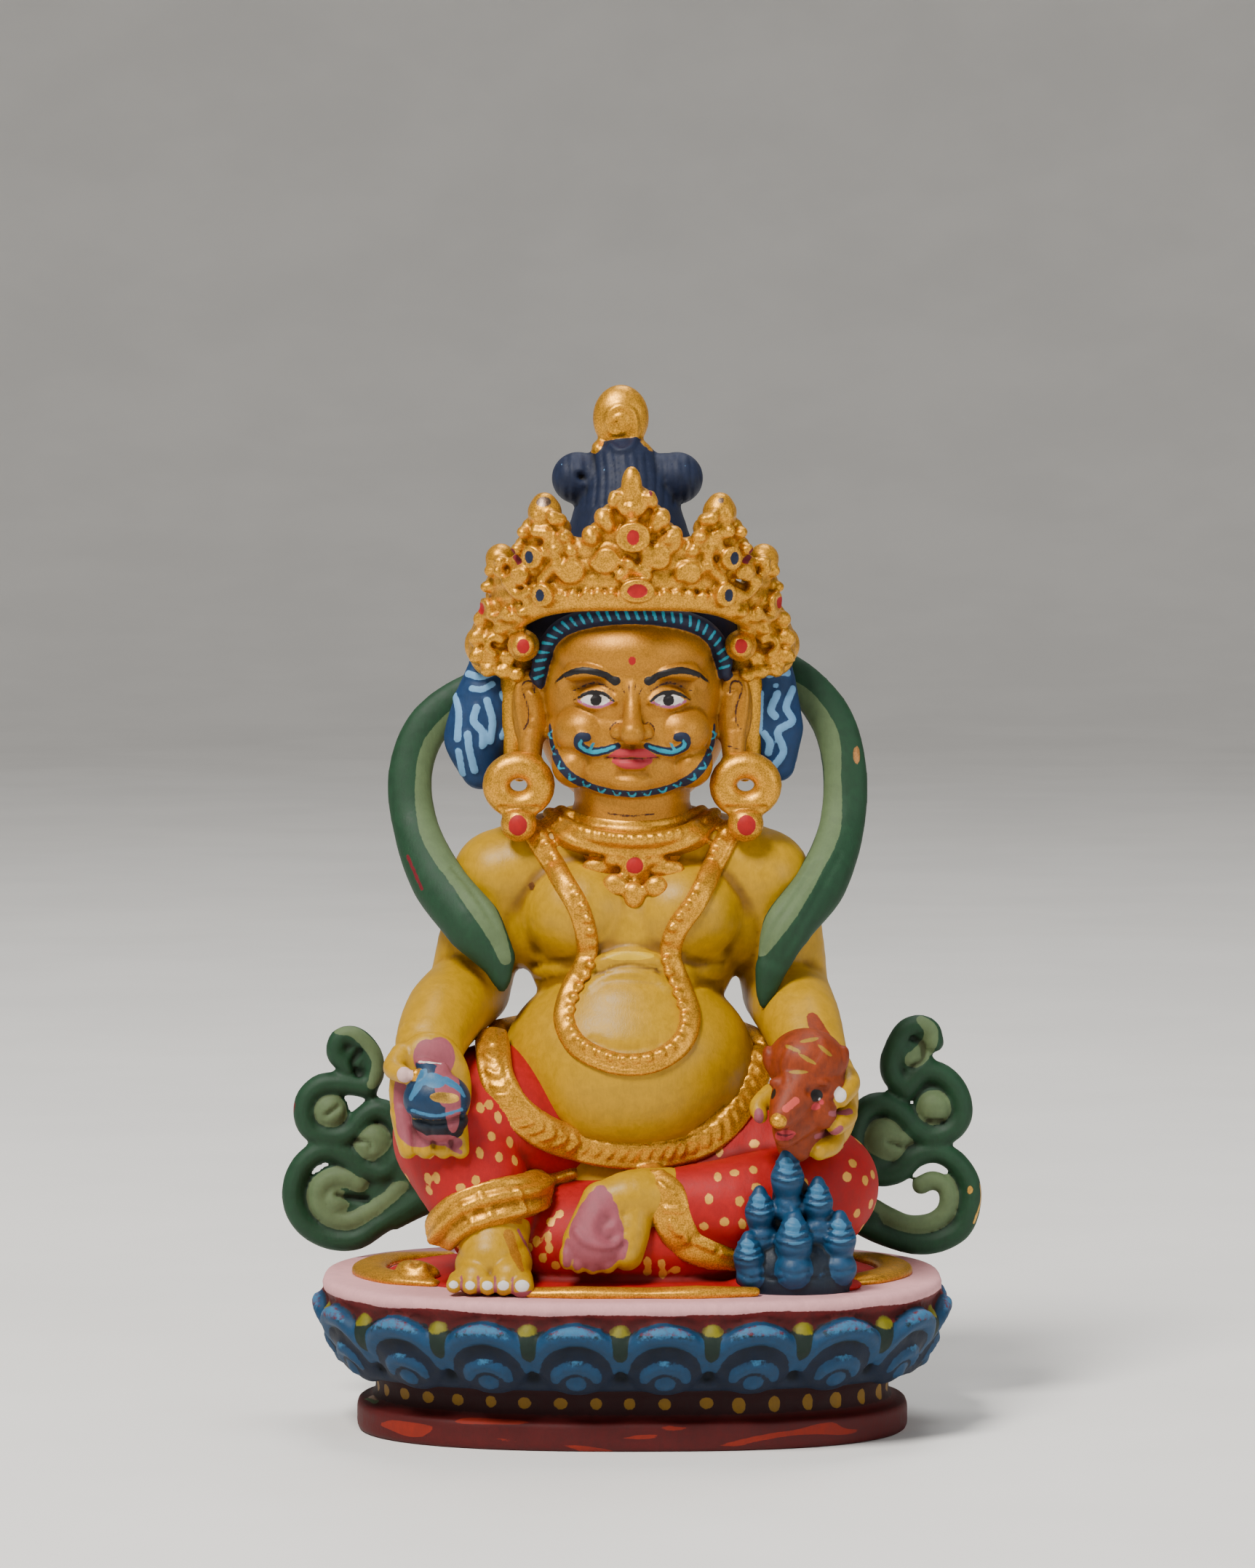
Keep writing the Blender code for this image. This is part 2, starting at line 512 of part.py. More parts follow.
def scroll_form(side):
    """Bands and discs of one scroll, as distances in from its outer edge and heights."""
    if side < 0:
        hook = [(4.5, 17.1), (4.9, 18.1), (6.3, 18.0), (7.4, 16.5), (7.5, 15.0), (6.9, 13.9)]
        curls = [(6.9, 13.9), (5.1, 14.2), (3.2, 14.1), (2.0, 13.0), (1.8, 11.5), (2.5, 10.3), (4.2, 9.9),
                 (5.6, 10.3), (6.5, 11.4), (7.7, 12.1), (9.1, 11.5), (9.7, 10.0), (9.6, 8.3), (8.2, 7.1),
                 (6.5, 7.4)]
        loop = [(6.5, 7.4), (5.1, 8.5), (3.5, 8.8), (1.9, 7.9), (0.95, 6.2), (0.95, 4.2), (2.0, 2.5),
                (3.9, 1.5), (6.0, 1.5), (7.9, 2.7), (9.7, 3.8), (11.7, 5.1)]
        comma = [(6.0, 6.1), (4.0, 6.6), (2.9, 5.6), (3.1, 4.1), (4.6, 3.0), (6.6, 3.5), (8.5, 4.7),
                 (10.0, 6.2)]
        discs = [(5.3, 16.4, 1.2), (3.9, 12.0, 1.7), (7.3, 9.3, 1.9), (4.8, 4.6, 3.4)]
        return (hook, curls, loop, comma), discs
    hook = [(5.3, 15.7), (4.2, 16.5), (3.9, 17.7), (4.2, 18.8), (5.1, 19.0), (6.2, 18.4), (7.0, 17.3),
            (7.4, 16.0), (7.1, 14.6), (5.9, 13.7)]
    curls = [(4.5, 15.4), (3.2, 14.9), (2.0, 13.6), (1.6, 11.8), (2.4, 10.4), (4.0, 9.9), (5.4, 10.5),
             (6.5, 11.8), (8.0, 12.6), (9.4, 12.2), (10.2, 10.8), (10.2, 9.2), (9.5, 7.7)]
    loop = [(9.5, 7.7), (8.4, 6.7), (6.7, 7.0), (5.4, 8.2), (3.7, 8.6), (2.1, 7.8), (1.0, 6.1), (0.95, 4.1),
            (1.7, 2.3), (3.4, 1.3), (5.3, 1.1), (7.3, 1.6), (9.4, 2.5), (11.7, 4.0)]
    comma = [(4.8, 5.9), (3.8, 6.5), (2.7, 5.7), (2.8, 3.9), (4.0, 2.9), (5.9, 2.6), (7.5, 3.3), (8.7, 4.1)]
    discs = [(5.3, 17.1, 1.2), (3.9, 12.4, 1.7), (7.9, 9.5, 2.1)]
    return (hook, curls, loop, comma), discs


def scroll(clay, side):
    """One scrolled end of the scarf, standing on the back edge of the lotus."""
    spread = (RIM_WIDTH / 2 + SCROLL_OVERHANG) / SQUARE
    setback = (RIM_DEPTH / 2 - SCROLL_MARGIN) / SQUARE
    bands, discs = scroll_form(side)

    def place(inward, z):
        return side * (spread - inward), setback, z

    for band in bands:
        clay.strand([place(inward, z) for inward, z in band], 1.05, (1, 1.05, 1))
    for inward, z, radius in discs:
        clay.ball(place(inward, z), (radius, 0.9, radius))
    tail = [place(8.4, 8.0), place(11.5, 6.4), place(14.5, 6.0), (side * 10, 4.5, 7.0)]
    clay.strand(tail, [1.6, 1.8, 2.0, 2.4], (1, 0.6, 1))


def figure(collection):
    """The whole figure as one thinned skin that stands on the lotus."""
    clay = Clay()
    for part in (torso, left_arm, right_arm, left_leg, right_leg, skirt, belt, necklaces, head,
                 earrings, crown, hair, sashes, mongoose, jewels):
        part(clay)
    for side in (-1, 1):
        scroll(clay, side)
    skin = evaluated(clay.melt("figure_form", collection, SQUARE, SKIN_GRAIN, RIM_HEIGHT))
    thin = skin.modifiers.new("Thin", 'DECIMATE')
    thin.ratio = SKIN_TRIANGLES / (2 * len(skin.data.polygons))
    evaluated(skin)
    keep_largest(skin)
    trim_footing(skin)
    return skin


def find_shells(bm):
    """The mesh's separate shells, each a set of vertices."""
    shells = []
    unseen = set(bm.verts)
    while unseen:
        shell, edge = set(), [unseen.pop()]
        while edge:
            vertex = edge.pop()
            shell.add(vertex)
            for link in vertex.link_edges:
                other = link.other_vert(vertex)
                if other in unseen:
                    unseen.discard(other)
                    edge.append(other)
        shells.append(shell)
    return shells


def shell_volume(shell):
    """Volume inside a shell, below zero where its faces look inwards at a pocket."""
    total = 0.0
    for face in {face for vertex in shell for face in vertex.link_faces}:
        first, *others = [vertex.co for vertex in face.verts]
        for second, third in zip(others, others[1:]):
            total += first.dot(second.cross(third)) / 6
    return total


def keep_largest(item):
    """Drop loose crumbs, and keep the largest shell."""
    bm = bmesh.new()
    bm.from_mesh(item.data)
    for shell in sorted(find_shells(bm), key=len)[:-1]:
        bmesh.ops.delete(bm, geom=list(shell), context='VERTS')
    bm.to_mesh(item.data)
    bm.free()


def fill_pockets(item):
    """Make the casting solid where the figure and the lotus close round a pocket."""
    bm = bmesh.new()
    bm.from_mesh(item.data)
    for shell in find_shells(bm):
        if shell_volume(shell) < 0:
            bmesh.ops.delete(bm, geom=list(shell), context='VERTS')
    bm.to_mesh(item.data)
    bm.free()


def trim_footing(item):
    """Cut the skin flat a footing's depth below the lotus, where the base hides it."""
    bm = bmesh.new()
    bm.from_mesh(item.data)
    geometry = bm.verts[:] + bm.edges[:] + bm.faces[:]
    cut = bmesh.ops.bisect_plane(bm, geom=geometry, plane_co=(0, 0, -FOOTING), plane_no=(0, 0, 1),
                                 clear_inner=True)
    edges = [piece for piece in cut["geom_cut"] if isinstance(piece, bmesh.types.BMEdge)]
    bmesh.ops.holes_fill(bm, edges=edges)
    bmesh.ops.triangulate(bm, faces=bm.faces)
    bm.to_mesh(item.data)
    bm.free()


def main():
    clear_scene()
    statue_parts = new_collection("jambhala_statue")
    forms = new_collection("forms")
    base = add_object("jambhala_statue", loft(base_sections()), statue_parts)
    add_petals(base, forms)
    skin = figure(forms)
    unite(base, skin)
    fill_pockets(base)
    for form in forms.objects:
        form.hide_render = True
        form.display_type = 'WIRE'
    base.data.materials.clear()
    base.data.materials.append(painted_metal("painted_copper", (0.58, 0.37, 0.05), 0.5, 0.25))
    base.data.shade_smooth()
    base.data.set_sharp_from_angle(angle=math.radians(65))


main()
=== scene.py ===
import math

import bpy
import bmesh
import numpy as np
from mathutils import Euler, Matrix, Vector, noise
from mathutils.bvhtree import BVHTree


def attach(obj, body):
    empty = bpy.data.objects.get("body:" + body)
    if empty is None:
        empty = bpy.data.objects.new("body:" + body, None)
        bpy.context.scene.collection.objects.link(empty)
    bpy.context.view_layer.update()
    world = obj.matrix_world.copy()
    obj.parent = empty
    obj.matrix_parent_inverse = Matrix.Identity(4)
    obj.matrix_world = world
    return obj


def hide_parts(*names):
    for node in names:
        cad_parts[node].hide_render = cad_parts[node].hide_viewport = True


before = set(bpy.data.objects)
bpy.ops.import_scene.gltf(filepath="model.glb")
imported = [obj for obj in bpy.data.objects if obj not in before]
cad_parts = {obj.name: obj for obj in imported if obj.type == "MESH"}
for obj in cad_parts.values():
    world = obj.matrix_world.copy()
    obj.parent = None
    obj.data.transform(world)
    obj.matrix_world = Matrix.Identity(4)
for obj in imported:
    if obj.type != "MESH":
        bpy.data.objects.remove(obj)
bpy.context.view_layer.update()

bl_info = {
    "name": "Painted Jambhala Statuette",
    "version": (1, 0, 0),
    "blender": (4, 5, 0),
    "location": "View3D > Sidebar > Statuette",
    "description": "Models and paints a small seated statuette on a lotus base",
    "category": "Add Mesh",
}

MM = 0.001
NODE = "jambhala_statue"
FRONT = 0
PAINT_REACH = 1.6
HOLLOW_TURNS = 14
EYE_DISTANCE = 90
PLAN_SQUARENESS = 0.8
ROOM_LIGHT = 0.22


def tone(red, green, blue):
    """A colour picked in screen values, as the linear values that shaders take."""
    parts = []
    for value in (red, green, blue):
        value /= 255
        parts.append(value / 12.92 if value <= 0.04045 else ((value + 0.055) / 1.055) ** 2.4)
    return tuple(parts)


# Paints: name, screen colour, darker and lighter share, roughness, metal
PAINTS = {
    "yellow": ((174, 131, 0), 0.78, 1.12, 0.42, 0.0),
    # A paler yellow, used only as a painted highlight on the belly fold
    "pale_yellow": ((200, 160, 12), 0.90, 1.05, 0.44, 0.0),
    "dot_gold": ((206, 150, 60), 0.78, 1.12, 0.46, 0.3),
    "pale_red": ((190, 70, 60), 0.90, 1.05, 0.60, 0.0),
    "gold": ((212, 150, 40), 0.50, 1.25, 0.40, 0.72),
    "face_gold": ((176, 118, 30), 0.74, 1.15, 0.44, 0.50),
    "red": ((156, 6, 8), 0.80, 1.14, 0.60, 0.0),
    "slab_red": ((72, 9, 9), 0.76, 1.18, 0.64, 0.0),
    "waist_red": ((44, 5, 8), 0.80, 1.15, 0.70, 0.0),
    "streak": ((124, 30, 12), 0.80, 1.15, 0.70, 0.0),
    "pink": ((208, 152, 154), 0.88, 1.06, 0.78, 0.0),
    "band_red": ((92, 18, 20), 0.62, 1.3, 0.70, 0.0),
    "petal_dark": ((2, 20, 42), 0.70, 1.15, 0.66, 0.0),
    "petal_mid": ((10, 54, 86), 0.76, 1.18, 0.62, 0.0),
    "petal_light": ((46, 100, 136), 0.80, 1.12, 0.66, 0.0),
    "leaf_dark": ((12, 30, 22), 0.80, 1.20, 0.70, 0.0),
    "leaf_light": ((112, 106, 12), 0.80, 1.12, 0.62, 0.0),
    "dot": ((142, 106, 20), 0.80, 1.15, 0.56, 0.1),
    "navy": ((18, 28, 52), 0.75, 1.25, 0.60, 0.0),
    "hair_blue": ((10, 46, 84), 0.78, 1.14, 0.58, 0.0),
    "hair_light": ((96, 146, 188), 0.88, 1.08, 0.62, 0.0),
    "turquoise": ((14, 142, 170), 0.90, 1.08, 0.55, 0.0),
    "ink": ((16, 11, 11), 0.90, 1.20, 0.50, 0.0),
    "brown": ((54, 20, 12), 0.90, 1.15, 0.55, 0.0),
    "white": ((202, 196, 190), 0.92, 1.03, 0.60, 0.0),
    "lip": ((172, 46, 54), 0.84, 1.08, 0.55, 0.0),
    "lid": ((162, 82, 122), 0.90, 1.05, 0.60, 0.0),
    "green": ((22, 56, 34), 0.76, 1.18, 0.60, 0.0),
    "pale_green": ((84, 102, 68), 0.84, 1.10, 0.66, 0.0),
    "maroon": ((98, 14, 26), 0.85, 1.10, 0.60, 0.0),
    "orange": ((124, 44, 3), 0.60, 1.30, 0.56, 0.0),
    "mauve": ((140, 70, 80), 0.84, 1.10, 0.60, 0.0),
    "pale_pink": ((200, 164, 158), 0.92, 1.04, 0.55, 0.0),
    "jewel_dark": ((7, 22, 36), 0.75, 1.25, 0.50, 0.0),
    "fruit_blue": ((12, 44, 72), 0.76, 1.2, 0.46, 0.0),
    "jewel_blue": ((18, 60, 92), 0.78, 1.15, 0.48, 0.0),
    "jewel_light": ((52, 106, 142), 0.82, 1.08, 0.50, 0.0),
    "copper": ((150, 104, 60), 0.70, 1.25, 0.38, 0.85),
    "old_metal": ((126, 104, 88), 0.55, 1.35, 0.36, 0.90),
    "brass": ((196, 150, 70), 0.75, 1.20, 0.34, 0.90),
}


class StatuetteSizes(bpy.types.PropertyGroup):
    """Driving sizes of the statuette."""
    rim_width: bpy.props.FloatProperty(name="Lotus Width", description="Width of the lotus rim",
                                       default=50.6 * MM, unit='LENGTH')
    rim_depth: bpy.props.FloatProperty(name="Lotus Depth", description="Depth of the lotus rim",
                                       default=35.8 * MM, unit='LENGTH')
    rim_height: bpy.props.FloatProperty(name="Lotus Height", description="Height of the base's pink top",
                                        default=12.6 * MM, unit='LENGTH')
    rim_band: bpy.props.FloatProperty(name="Rim Band", description="Height of the plain band above the petals",
                                      default=2.4 * MM, unit='LENGTH')
    slab_width: bpy.props.FloatProperty(name="Slab Width", description="Width of the bottom slab",
                                        default=44.9 * MM, unit='LENGTH')
    slab_depth: bpy.props.FloatProperty(name="Slab Depth", description="Depth of the bottom slab",
                                        default=27.6 * MM, unit='LENGTH')
    slab_height: bpy.props.FloatProperty(name="Slab Height", description="Height of the bottom slab",
                                         default=2.3 * MM, unit='LENGTH')
    waist_height: bpy.props.FloatProperty(name="Waist Height",
                                          description="Height of the hollow between slab and lotus",
                                          default=2.4 * MM, unit='LENGTH')
    figure_height: bpy.props.FloatProperty(name="Figure Height",
                                           description="Height from the lotus top to the finial",
                                           default=72.4 * MM, unit='LENGTH')
    petals: bpy.props.IntProperty(name="Petals", description="Lotus petals round the base", default=19, min=8)
    petal_turn: bpy.props.FloatProperty(name="Petal Turn", description="Share of a step from the front to a petal",
                                        default=0.37)


class StatuetteStage(bpy.types.PropertyGroup):
    """Camera and light."""
    distance: bpy.props.FloatProperty(name="Distance", description="Camera distance from its aim", default=0.5,
                                      unit='LENGTH')
    elevation: bpy.props.FloatProperty(name="Elevation", description="Camera's rise above its aim",
                                       default=math.radians(3.5), subtype='ANGLE')
    frame_height: bpy.props.FloatProperty(name="Frame Height", description="Height seen at the aim",
                                          default=0.1276, unit='LENGTH')
    aim: bpy.props.FloatVectorProperty(name="Aim", description="Point the camera looks at",
                                       default=(-0.375 * MM, 0.0, 52.5 * MM), subtype='TRANSLATION')
    floor_colour: bpy.props.FloatVectorProperty(name="Floor", description="Colour of the floor",
                                                default=tone(232, 230, 226), subtype='COLOR')


def sizes():
    return bpy.context.scene.statuette_sizes


def square():
    """The figure's unit: it stands 71 squares above the lotus."""
    return sizes().figure_height / 71


# Shader building


class Wire:
    """A shader value that can be used in sums."""

    def __init__(self, pot, socket):
        self.pot = pot
        self.socket = socket

    def __add__(self, other):
        return self.pot.maths('ADD', self, other)

    def __radd__(self, other):
        return self.pot.maths('ADD', other, self)

    def __sub__(self, other):
        return self.pot.maths('SUBTRACT', self, other)

    def __rsub__(self, other):
        return self.pot.maths('SUBTRACT', other, self)

    def __mul__(self, other):
        return self.pot.maths('MULTIPLY', self, other)

    def __rmul__(self, other):
        return self.pot.maths('MULTIPLY', other, self)


class PaintPot:
    """One material and the nodes that mix it."""

    def __init__(self, name):
        self.material = bpy.data.materials.new(name)
        self.material.use_nodes = True
        self.tree = self.material.node_tree
        self.shader = self.tree.nodes["Principled BSDF"]

    def node(self, kind, settings=None, inputs=None, output=0):
        item = self.tree.nodes.new(kind)
        for key, value in (settings or {}).items():
            setattr(item, key, value)
        for key, value in (inputs or {}).items():
            self.feed(item.inputs[key], value)
        return Wire(self, item.outputs[output])

    def feed(self, socket, value):
        if isinstance(value, Wire):
            self.tree.links.new(value.socket, socket)
        else:
            socket.default_value = value

    def maths(self, operation, first, second):
        return self.node("ShaderNodeMath", {"operation": operation}, {0: first, 1: second})

    def clip(self, value):
        return self.node("ShaderNodeMath", {"operation": 'ADD', "use_clamp": True}, {0: value, 1: 0.0})

    def ramp(self, value, low, high, start=0.0, end=1.0):
        return self.node("ShaderNodeMapRange", {"interpolation_type": 'SMOOTHSTEP'},
                         {"Value": value, "From Min": low, "From Max": high, "To Min": start, "To Max": end})

    def blend(self, share, first, second, mode='MIX'):
        return self.node("ShaderNodeMix", {"data_type": 'RGBA', "blend_type": mode},
                         {0: share, 6: first, 7: second}, output=2)

    def attribute(self, name):
        return self.node("ShaderNodeAttribute", {"attribute_name": name}, output=2)

    def place(self):
        """Object coordinates in millimetres."""
        item = self.tree.nodes.new("ShaderNodeTexCoord")
        metres = Wire(self, item.outputs["Object"])
        return self.node("ShaderNodeVectorMath", {"operation": 'SCALE'}, {0: metres, "Scale": 1 / MM})

    def grain(self, place, scale, detail=2.0, roughness=0.5, distortion=0.0):
        return self.node("ShaderNodeTexNoise", {"noise_dimensions": '3D'},
                         {"Vector": place, "Scale": scale, "Detail": detail, "Roughness": roughness,
                          "Distortion": distortion})

    def stretch(self, place, factors):
        return self.node("ShaderNodeVectorMath", {"operation": 'MULTIPLY'}, {0: place, 1: factors})


def tinted(colour, share):
    return tuple(min(1.0, part * share) for part in colour) + (1.0,)


def painted_finish(name, ground, layers, crease_shade=0.75):
    """Hand-laid paints over a ground, each inside its own edge, with brush marks and wear, and painted shade
    darkening the hollows and creases.
    """
    pot = PaintPot(name)
    place = pot.place()
    soft = pot.grain(place, 0.35, 3.0, 0.6)
    blotch = pot.ramp(pot.grain(place, 1.1, 4.0, 0.62, 0.6), 0.30, 0.70)
    brush = pot.grain(pot.stretch(place, (2.2, 2.2, 0.55)), 2.2, 3.0, 0.65, 0.4)
    speck = pot.grain(place, 7.5, 3.0, 0.7)
    ragged = (pot.grain(place, 2.4, 3.0, 0.6) - 0.5) * 0.16 + (speck - 0.5) * 0.05
    mottle = pot.clip(blotch * 0.55 + brush * 0.9 - 0.22)
    glitter = pot.clip(pot.ramp(speck, 0.34, 0.66) * 0.8 + blotch * 0.2)

    def coat(paint):
        colour, dark, light, rough, metal = PAINTS[paint]
        colour = tone(*colour)
        share = glitter if metal > 0.3 else mottle
        return pot.blend(share, tinted(colour, dark), tinted(colour, light)), rough, metal

    colour, rough, metal = coat(ground)
    for field, paint in layers:
        shade, next_rough, next_metal = coat(paint)
        edge = 0.035
        mask = pot.ramp(pot.attribute(field) + ragged, -edge, edge, 1.0, 0.0)
        colour = pot.blend(mask, colour, shade)
        rough = rough + (next_rough - rough) * mask
        metal = metal + (next_metal - metal) * mask
    # Painted shade: the colour is darkened towards brown where the skin lies in a hollow or crease, where shade
    # falls.
    hollow = pot.attribute("hollow")
    painted_shade = pot.ramp(hollow, 0.008, 0.13) * crease_shade
    colour = pot.blend(painted_shade, colour, (0.24, 0.15, 0.09, 1.0), 'MULTIPLY')
    pot.feed(pot.shader.inputs["Base Color"], colour)
    pot.feed(pot.shader.inputs["Roughness"], pot.clip(rough + (mottle - 0.5) * 0.12 + painted_shade * 0.15))
    pot.feed(pot.shader.inputs["Metallic"], metal)
    pot.shader.inputs["Specular IOR Level"].default_value = 0.30
    height = brush * 0.55 + speck * 0.35 + soft * 0.2
    bump = pot.node("ShaderNodeBump", {}, {"Strength": 0.32, "Distance": 0.09 * MM, "Height": height})
    pot.feed(pot.shader.inputs["Normal"], bump)
    return pot.material


# Clay


def smooth_path(points, spacing):
    """Catmull-Rom samples along the points, about one spacing apart."""
    points = [Vector(p) for p in points]
    ends = [2 * points[0] - points[1]] + points + [2 * points[-1] - points[-2]]
    samples = []
    for index in range(len(points) - 1):
        a, b, c, d = ends[index:index + 4]
        steps = max(1, math.ceil((c - b).length / spacing))
        for step in range(steps):
            t = step / steps
            samples.append((index + t, 0.5 * (2 * b + (c - a) * t + (2 * a - 5 * b + 4 * c - d) * t * t
                                              + (3 * b - a - 3 * c + d) * t ** 3)))
    samples.append((len(points) - 1, points[-1]))
    return samples


def graded(values, place):
    """A value between the ones given at whole places."""
    if not hasattr(values, "__len__"):
        return values
    index = min(int(place), len(values) - 2)
    return values[index] + (values[index + 1] - values[index]) * (place - index)


def distance_to(points, lumps, reach):
    """Distance from each point to the nearest of the lumps, no more than a reach."""
    order = np.argsort(points[:, 2])
    sorted_points = points[order]
    heights = sorted_points[:, 2]
    best = np.full(len(points), float(reach))
    for centre, spin, radii in lumps:
        size = radii.max() + reach
        first, last = np.searchsorted(heights, (centre[2] - size, centre[2] + size))
        offset = sorted_points[first:last] - centre
        near = np.flatnonzero((np.abs(offset[:, 0]) < size) & (np.abs(offset[:, 1]) < size))
        offset = offset[near]
        scale = np.linalg.norm(offset @ spin / radii, axis=1)
        away = np.linalg.norm(offset, axis=1) * (1 - 1 / np.maximum(scale, 1e-6))
        best[first + near] = np.minimum(best[first + near], away)
    fields = np.empty_like(best)
    fields[order] = best
    return fields


def read_mesh(mesh):
    """Points, normals and edges as arrays."""
    points = np.zeros(len(mesh.vertices) * 3)
    mesh.vertices.foreach_get("co", points)
    normals = np.zeros(len(mesh.vertices) * 3, np.float32)
    mesh.vertex_normals.foreach_get("vector", normals)
    edges = np.zeros(len(mesh.edges) * 2, np.int32)
    mesh.edges.foreach_get("vertices", edges)
    return points.reshape(-1, 3), normals.reshape(-1, 3).astype(float), edges.reshape(-1, 2)


def evened(values, edges, turns):
    """Values averaged with their neighbours a number of turns."""
    count = len(values)
    degree = np.bincount(edges.ravel(), minlength=count)[:, None]
    values = values.reshape(count, -1).copy()
    for _ in range(turns):
        for column in range(values.shape[1]):
            total = np.bincount(edges[:, 0], values[edges[:, 1], column], count)
            total += np.bincount(edges[:, 1], values[edges[:, 0], column], count)
            values[:, column] = 0.5 * values[:, column] + 0.5 * total / np.maximum(degree[:, 0], 1)
    return values


def add_field(mesh, name, values):
    mesh.attributes.new(name, 'FLOAT', 'POINT').data.foreach_set("value", values.astype(np.float32))


def add_object(name, bm):
    mesh = bpy.data.meshes.new(name)
    bm.to_mesh(mesh)
    bm.free()
    item = bpy.data.objects.new(name, mesh)
    bpy.context.scene.collection.objects.link(item)
    return item


def evaluated(item):
    """Turn an object's modifiers into plain mesh."""
    graph = bpy.context.evaluated_depsgraph_get()
    mesh = bpy.data.meshes.new_from_object(item.evaluated_get(graph))
    item.modifiers.clear()
    item.data = mesh
    return item


def mount(item, material):
    """Dress a finished piece and tie it to the casting."""
    item.data.materials.clear()
    item.data.materials.append(material)
    item.data.shade_smooth()
    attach(item, "root")
    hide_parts(NODE)
    return item


class Clay:
    """Round lumps heaped in squares, each in a paint, to be melted into one painted skin."""

    def __init__(self, paint, unit=None, floor=None):
        self.ground = paint
        self.paint = paint
        self.unit = square() if unit is None else unit
        self.floor = sizes().rim_height if floor is None else floor
        self.lumps = []
        self.reliefs = []
        self.strokes = []

    def use(self, paint):
        self.paint = paint
        return self

    def ball(self, centre, radii, turn=(0, 0, 0), paint=None):
        """An ellipsoid, turned by degrees about X, Y and Z."""
        if not hasattr(radii, "__len__"):
            radii = (radii,) * 3
        spin = Euler([math.radians(angle) for angle in turn]).to_matrix()
        self.lumps.append((np.array(centre, float), np.array(spin), np.array(radii, float), paint or self.paint))

    def strand(self, points, girth, shape=(1, 1, 1), turn=(0, 0, 0), step=0.4):
        """A rope of balls through the points, whose girth may change from point to point."""
        finest = min(girth) if hasattr(girth, "__len__") else girth
        for place, point in smooth_path(points, step * finest):
            radius = graded(girth, place)
            self.ball(point, [radius * factor for factor in shape], turn)

    def beads(self, points, spacing, radii, lift=(0, 0, 0)):
        """Separate lumps at even steps along the points."""
        travelled = 0.0
        last = None
        for _, point in smooth_path(points, 0.1):
            travelled += (point - last).length if last is not None else spacing
            last = point
            if travelled >= spacing:
                travelled = 0.0
                self.ball(point + Vector(lift), radii)

    def front(self, x, z):
        """How far forward the heap comes at a place seen from the front."""
        nearest = None
        for centre, spin, radii, _ in self.lumps:
            size = radii.max()
            if abs(x - centre[0]) > size or abs(z - centre[2]) > size:
                continue
            start = (spin.T @ (np.array((x, 0, z)) - centre * (1, 0, 1))) / radii
            ray = (spin.T @ np.array((0, 1, 0))) / radii
            a, b, c = ray @ ray, ray @ start, start @ start - 1
            if b * b > a * c:
                y = centre[1] - (b + math.sqrt(b * b - a * c)) / a
                nearest = y if nearest is None else min(nearest, y)
        return nearest

    def laid(self, places, spacing=1.0, lift=0.0):
        """Points on the front of the heap under places given as x and z, and how far along each is."""
        found = []
        for place, (x, z) in smooth_path(places, spacing):
            y = self.front(x, z)
            if y is not None:
                found.append((place, (x, y - lift, z)))
        return found

    def drape(self, places, girth, shape):
        """A strand laid over the front of the heap."""
        found = self.laid(places, 0.6)
        self.strand([point for _, point in found], [graded(girth, place) for place, _ in found], shape)

    def relief(self, places, width, height, heading=FRONT):
        """A ridge, or below zero a groove, pressed along a line seen from a heading."""
        self.reliefs.append((places, width, height, heading))

    def stroke(self, paint, places, width, heading=FRONT):
        """Paint brushed along a line seen from a heading, with a half-width that may change."""
        self.strokes.append((paint, places, width, heading))

    def dab(self, paint, place, radii, heading=FRONT, turn=0.0):
        """One touch of paint, round or long."""
        self.strokes.append((paint, place, radii, (heading, turn)))

    def heap(self, name):
        """Every lump as a ball, fine enough for its size."""
        round_forms = {}
        for fineness in (2, 3, 4, 5):
            form = bmesh.new()
            bmesh.ops.create_icosphere(form, subdivisions=fineness, radius=1.0)
            round_forms[fineness] = bpy.data.meshes.new("round_form")
            form.to_mesh(round_forms[fineness])
            form.free()
        bm = bmesh.new()
        for centre, spin, radii, _ in self.lumps:
            place = Matrix.Translation(centre) @ Matrix(spin.tolist()).to_4x4()
            place = place @ Matrix.Diagonal(Vector(radii)).to_4x4()
            size = max(radii)
            ball = round_forms[2 if size < 0.5 else 3 if size < 2 else 4 if size < 5 else 5].copy()
            ball.transform(place)
            bm.from_mesh(ball)
            bpy.data.meshes.remove(ball)
        for form in round_forms.values():
            bpy.data.meshes.remove(form)
        return add_object(name, bm)

    def melt(self, name, grain, turns=2, extra=None, regions=None):
        """Melt the heap, press the reliefs, lay the paints and dress the piece."""
        item = self.heap(name)
        if extra:
            bm = bmesh.new()
            bm.from_mesh(item.data)
            bm.from_mesh(extra.data)
            bm.to_mesh(item.data)
            bm.free()
            bpy.data.objects.remove(extra, do_unlink=True)
        skin = item.modifiers.new("Melt", 'REMESH')
        skin.mode = 'VOXEL'
        skin.voxel_size = grain
        soft = item.modifiers.new("Smooth", 'SMOOTH')
        soft.factor = 0.5
        soft.iterations = turns
        evaluated(item)
        self.press(item.data)
        fields = self.paint_fields(item.data, regions)
        item.data.transform(Matrix.Translation((0, 0, self.floor)) @ Matrix.Scale(self.unit, 4))
        for field, values in fields.items():
            add_field(item.data, field, values)
        order = [field for field in fields if field != "hollow"]
        layers = [(field, field.rsplit("_", 1)[0]) for field in order]
        return mount(item, painted_finish(name + "_paint", self.ground, layers))

    def cast(self, tree, u, z, heading):
        """The point on the skin under a place seen from a heading."""
        turn = math.radians(heading)
        across = Vector((math.cos(turn), math.sin(turn), 0))
        inward = Vector((-math.sin(turn), math.cos(turn), 0))
        hit = tree.ray_cast(across * u - inward * EYE_DISTANCE + Vector((0, 0, z)), inward)
        return hit[0], across, inward

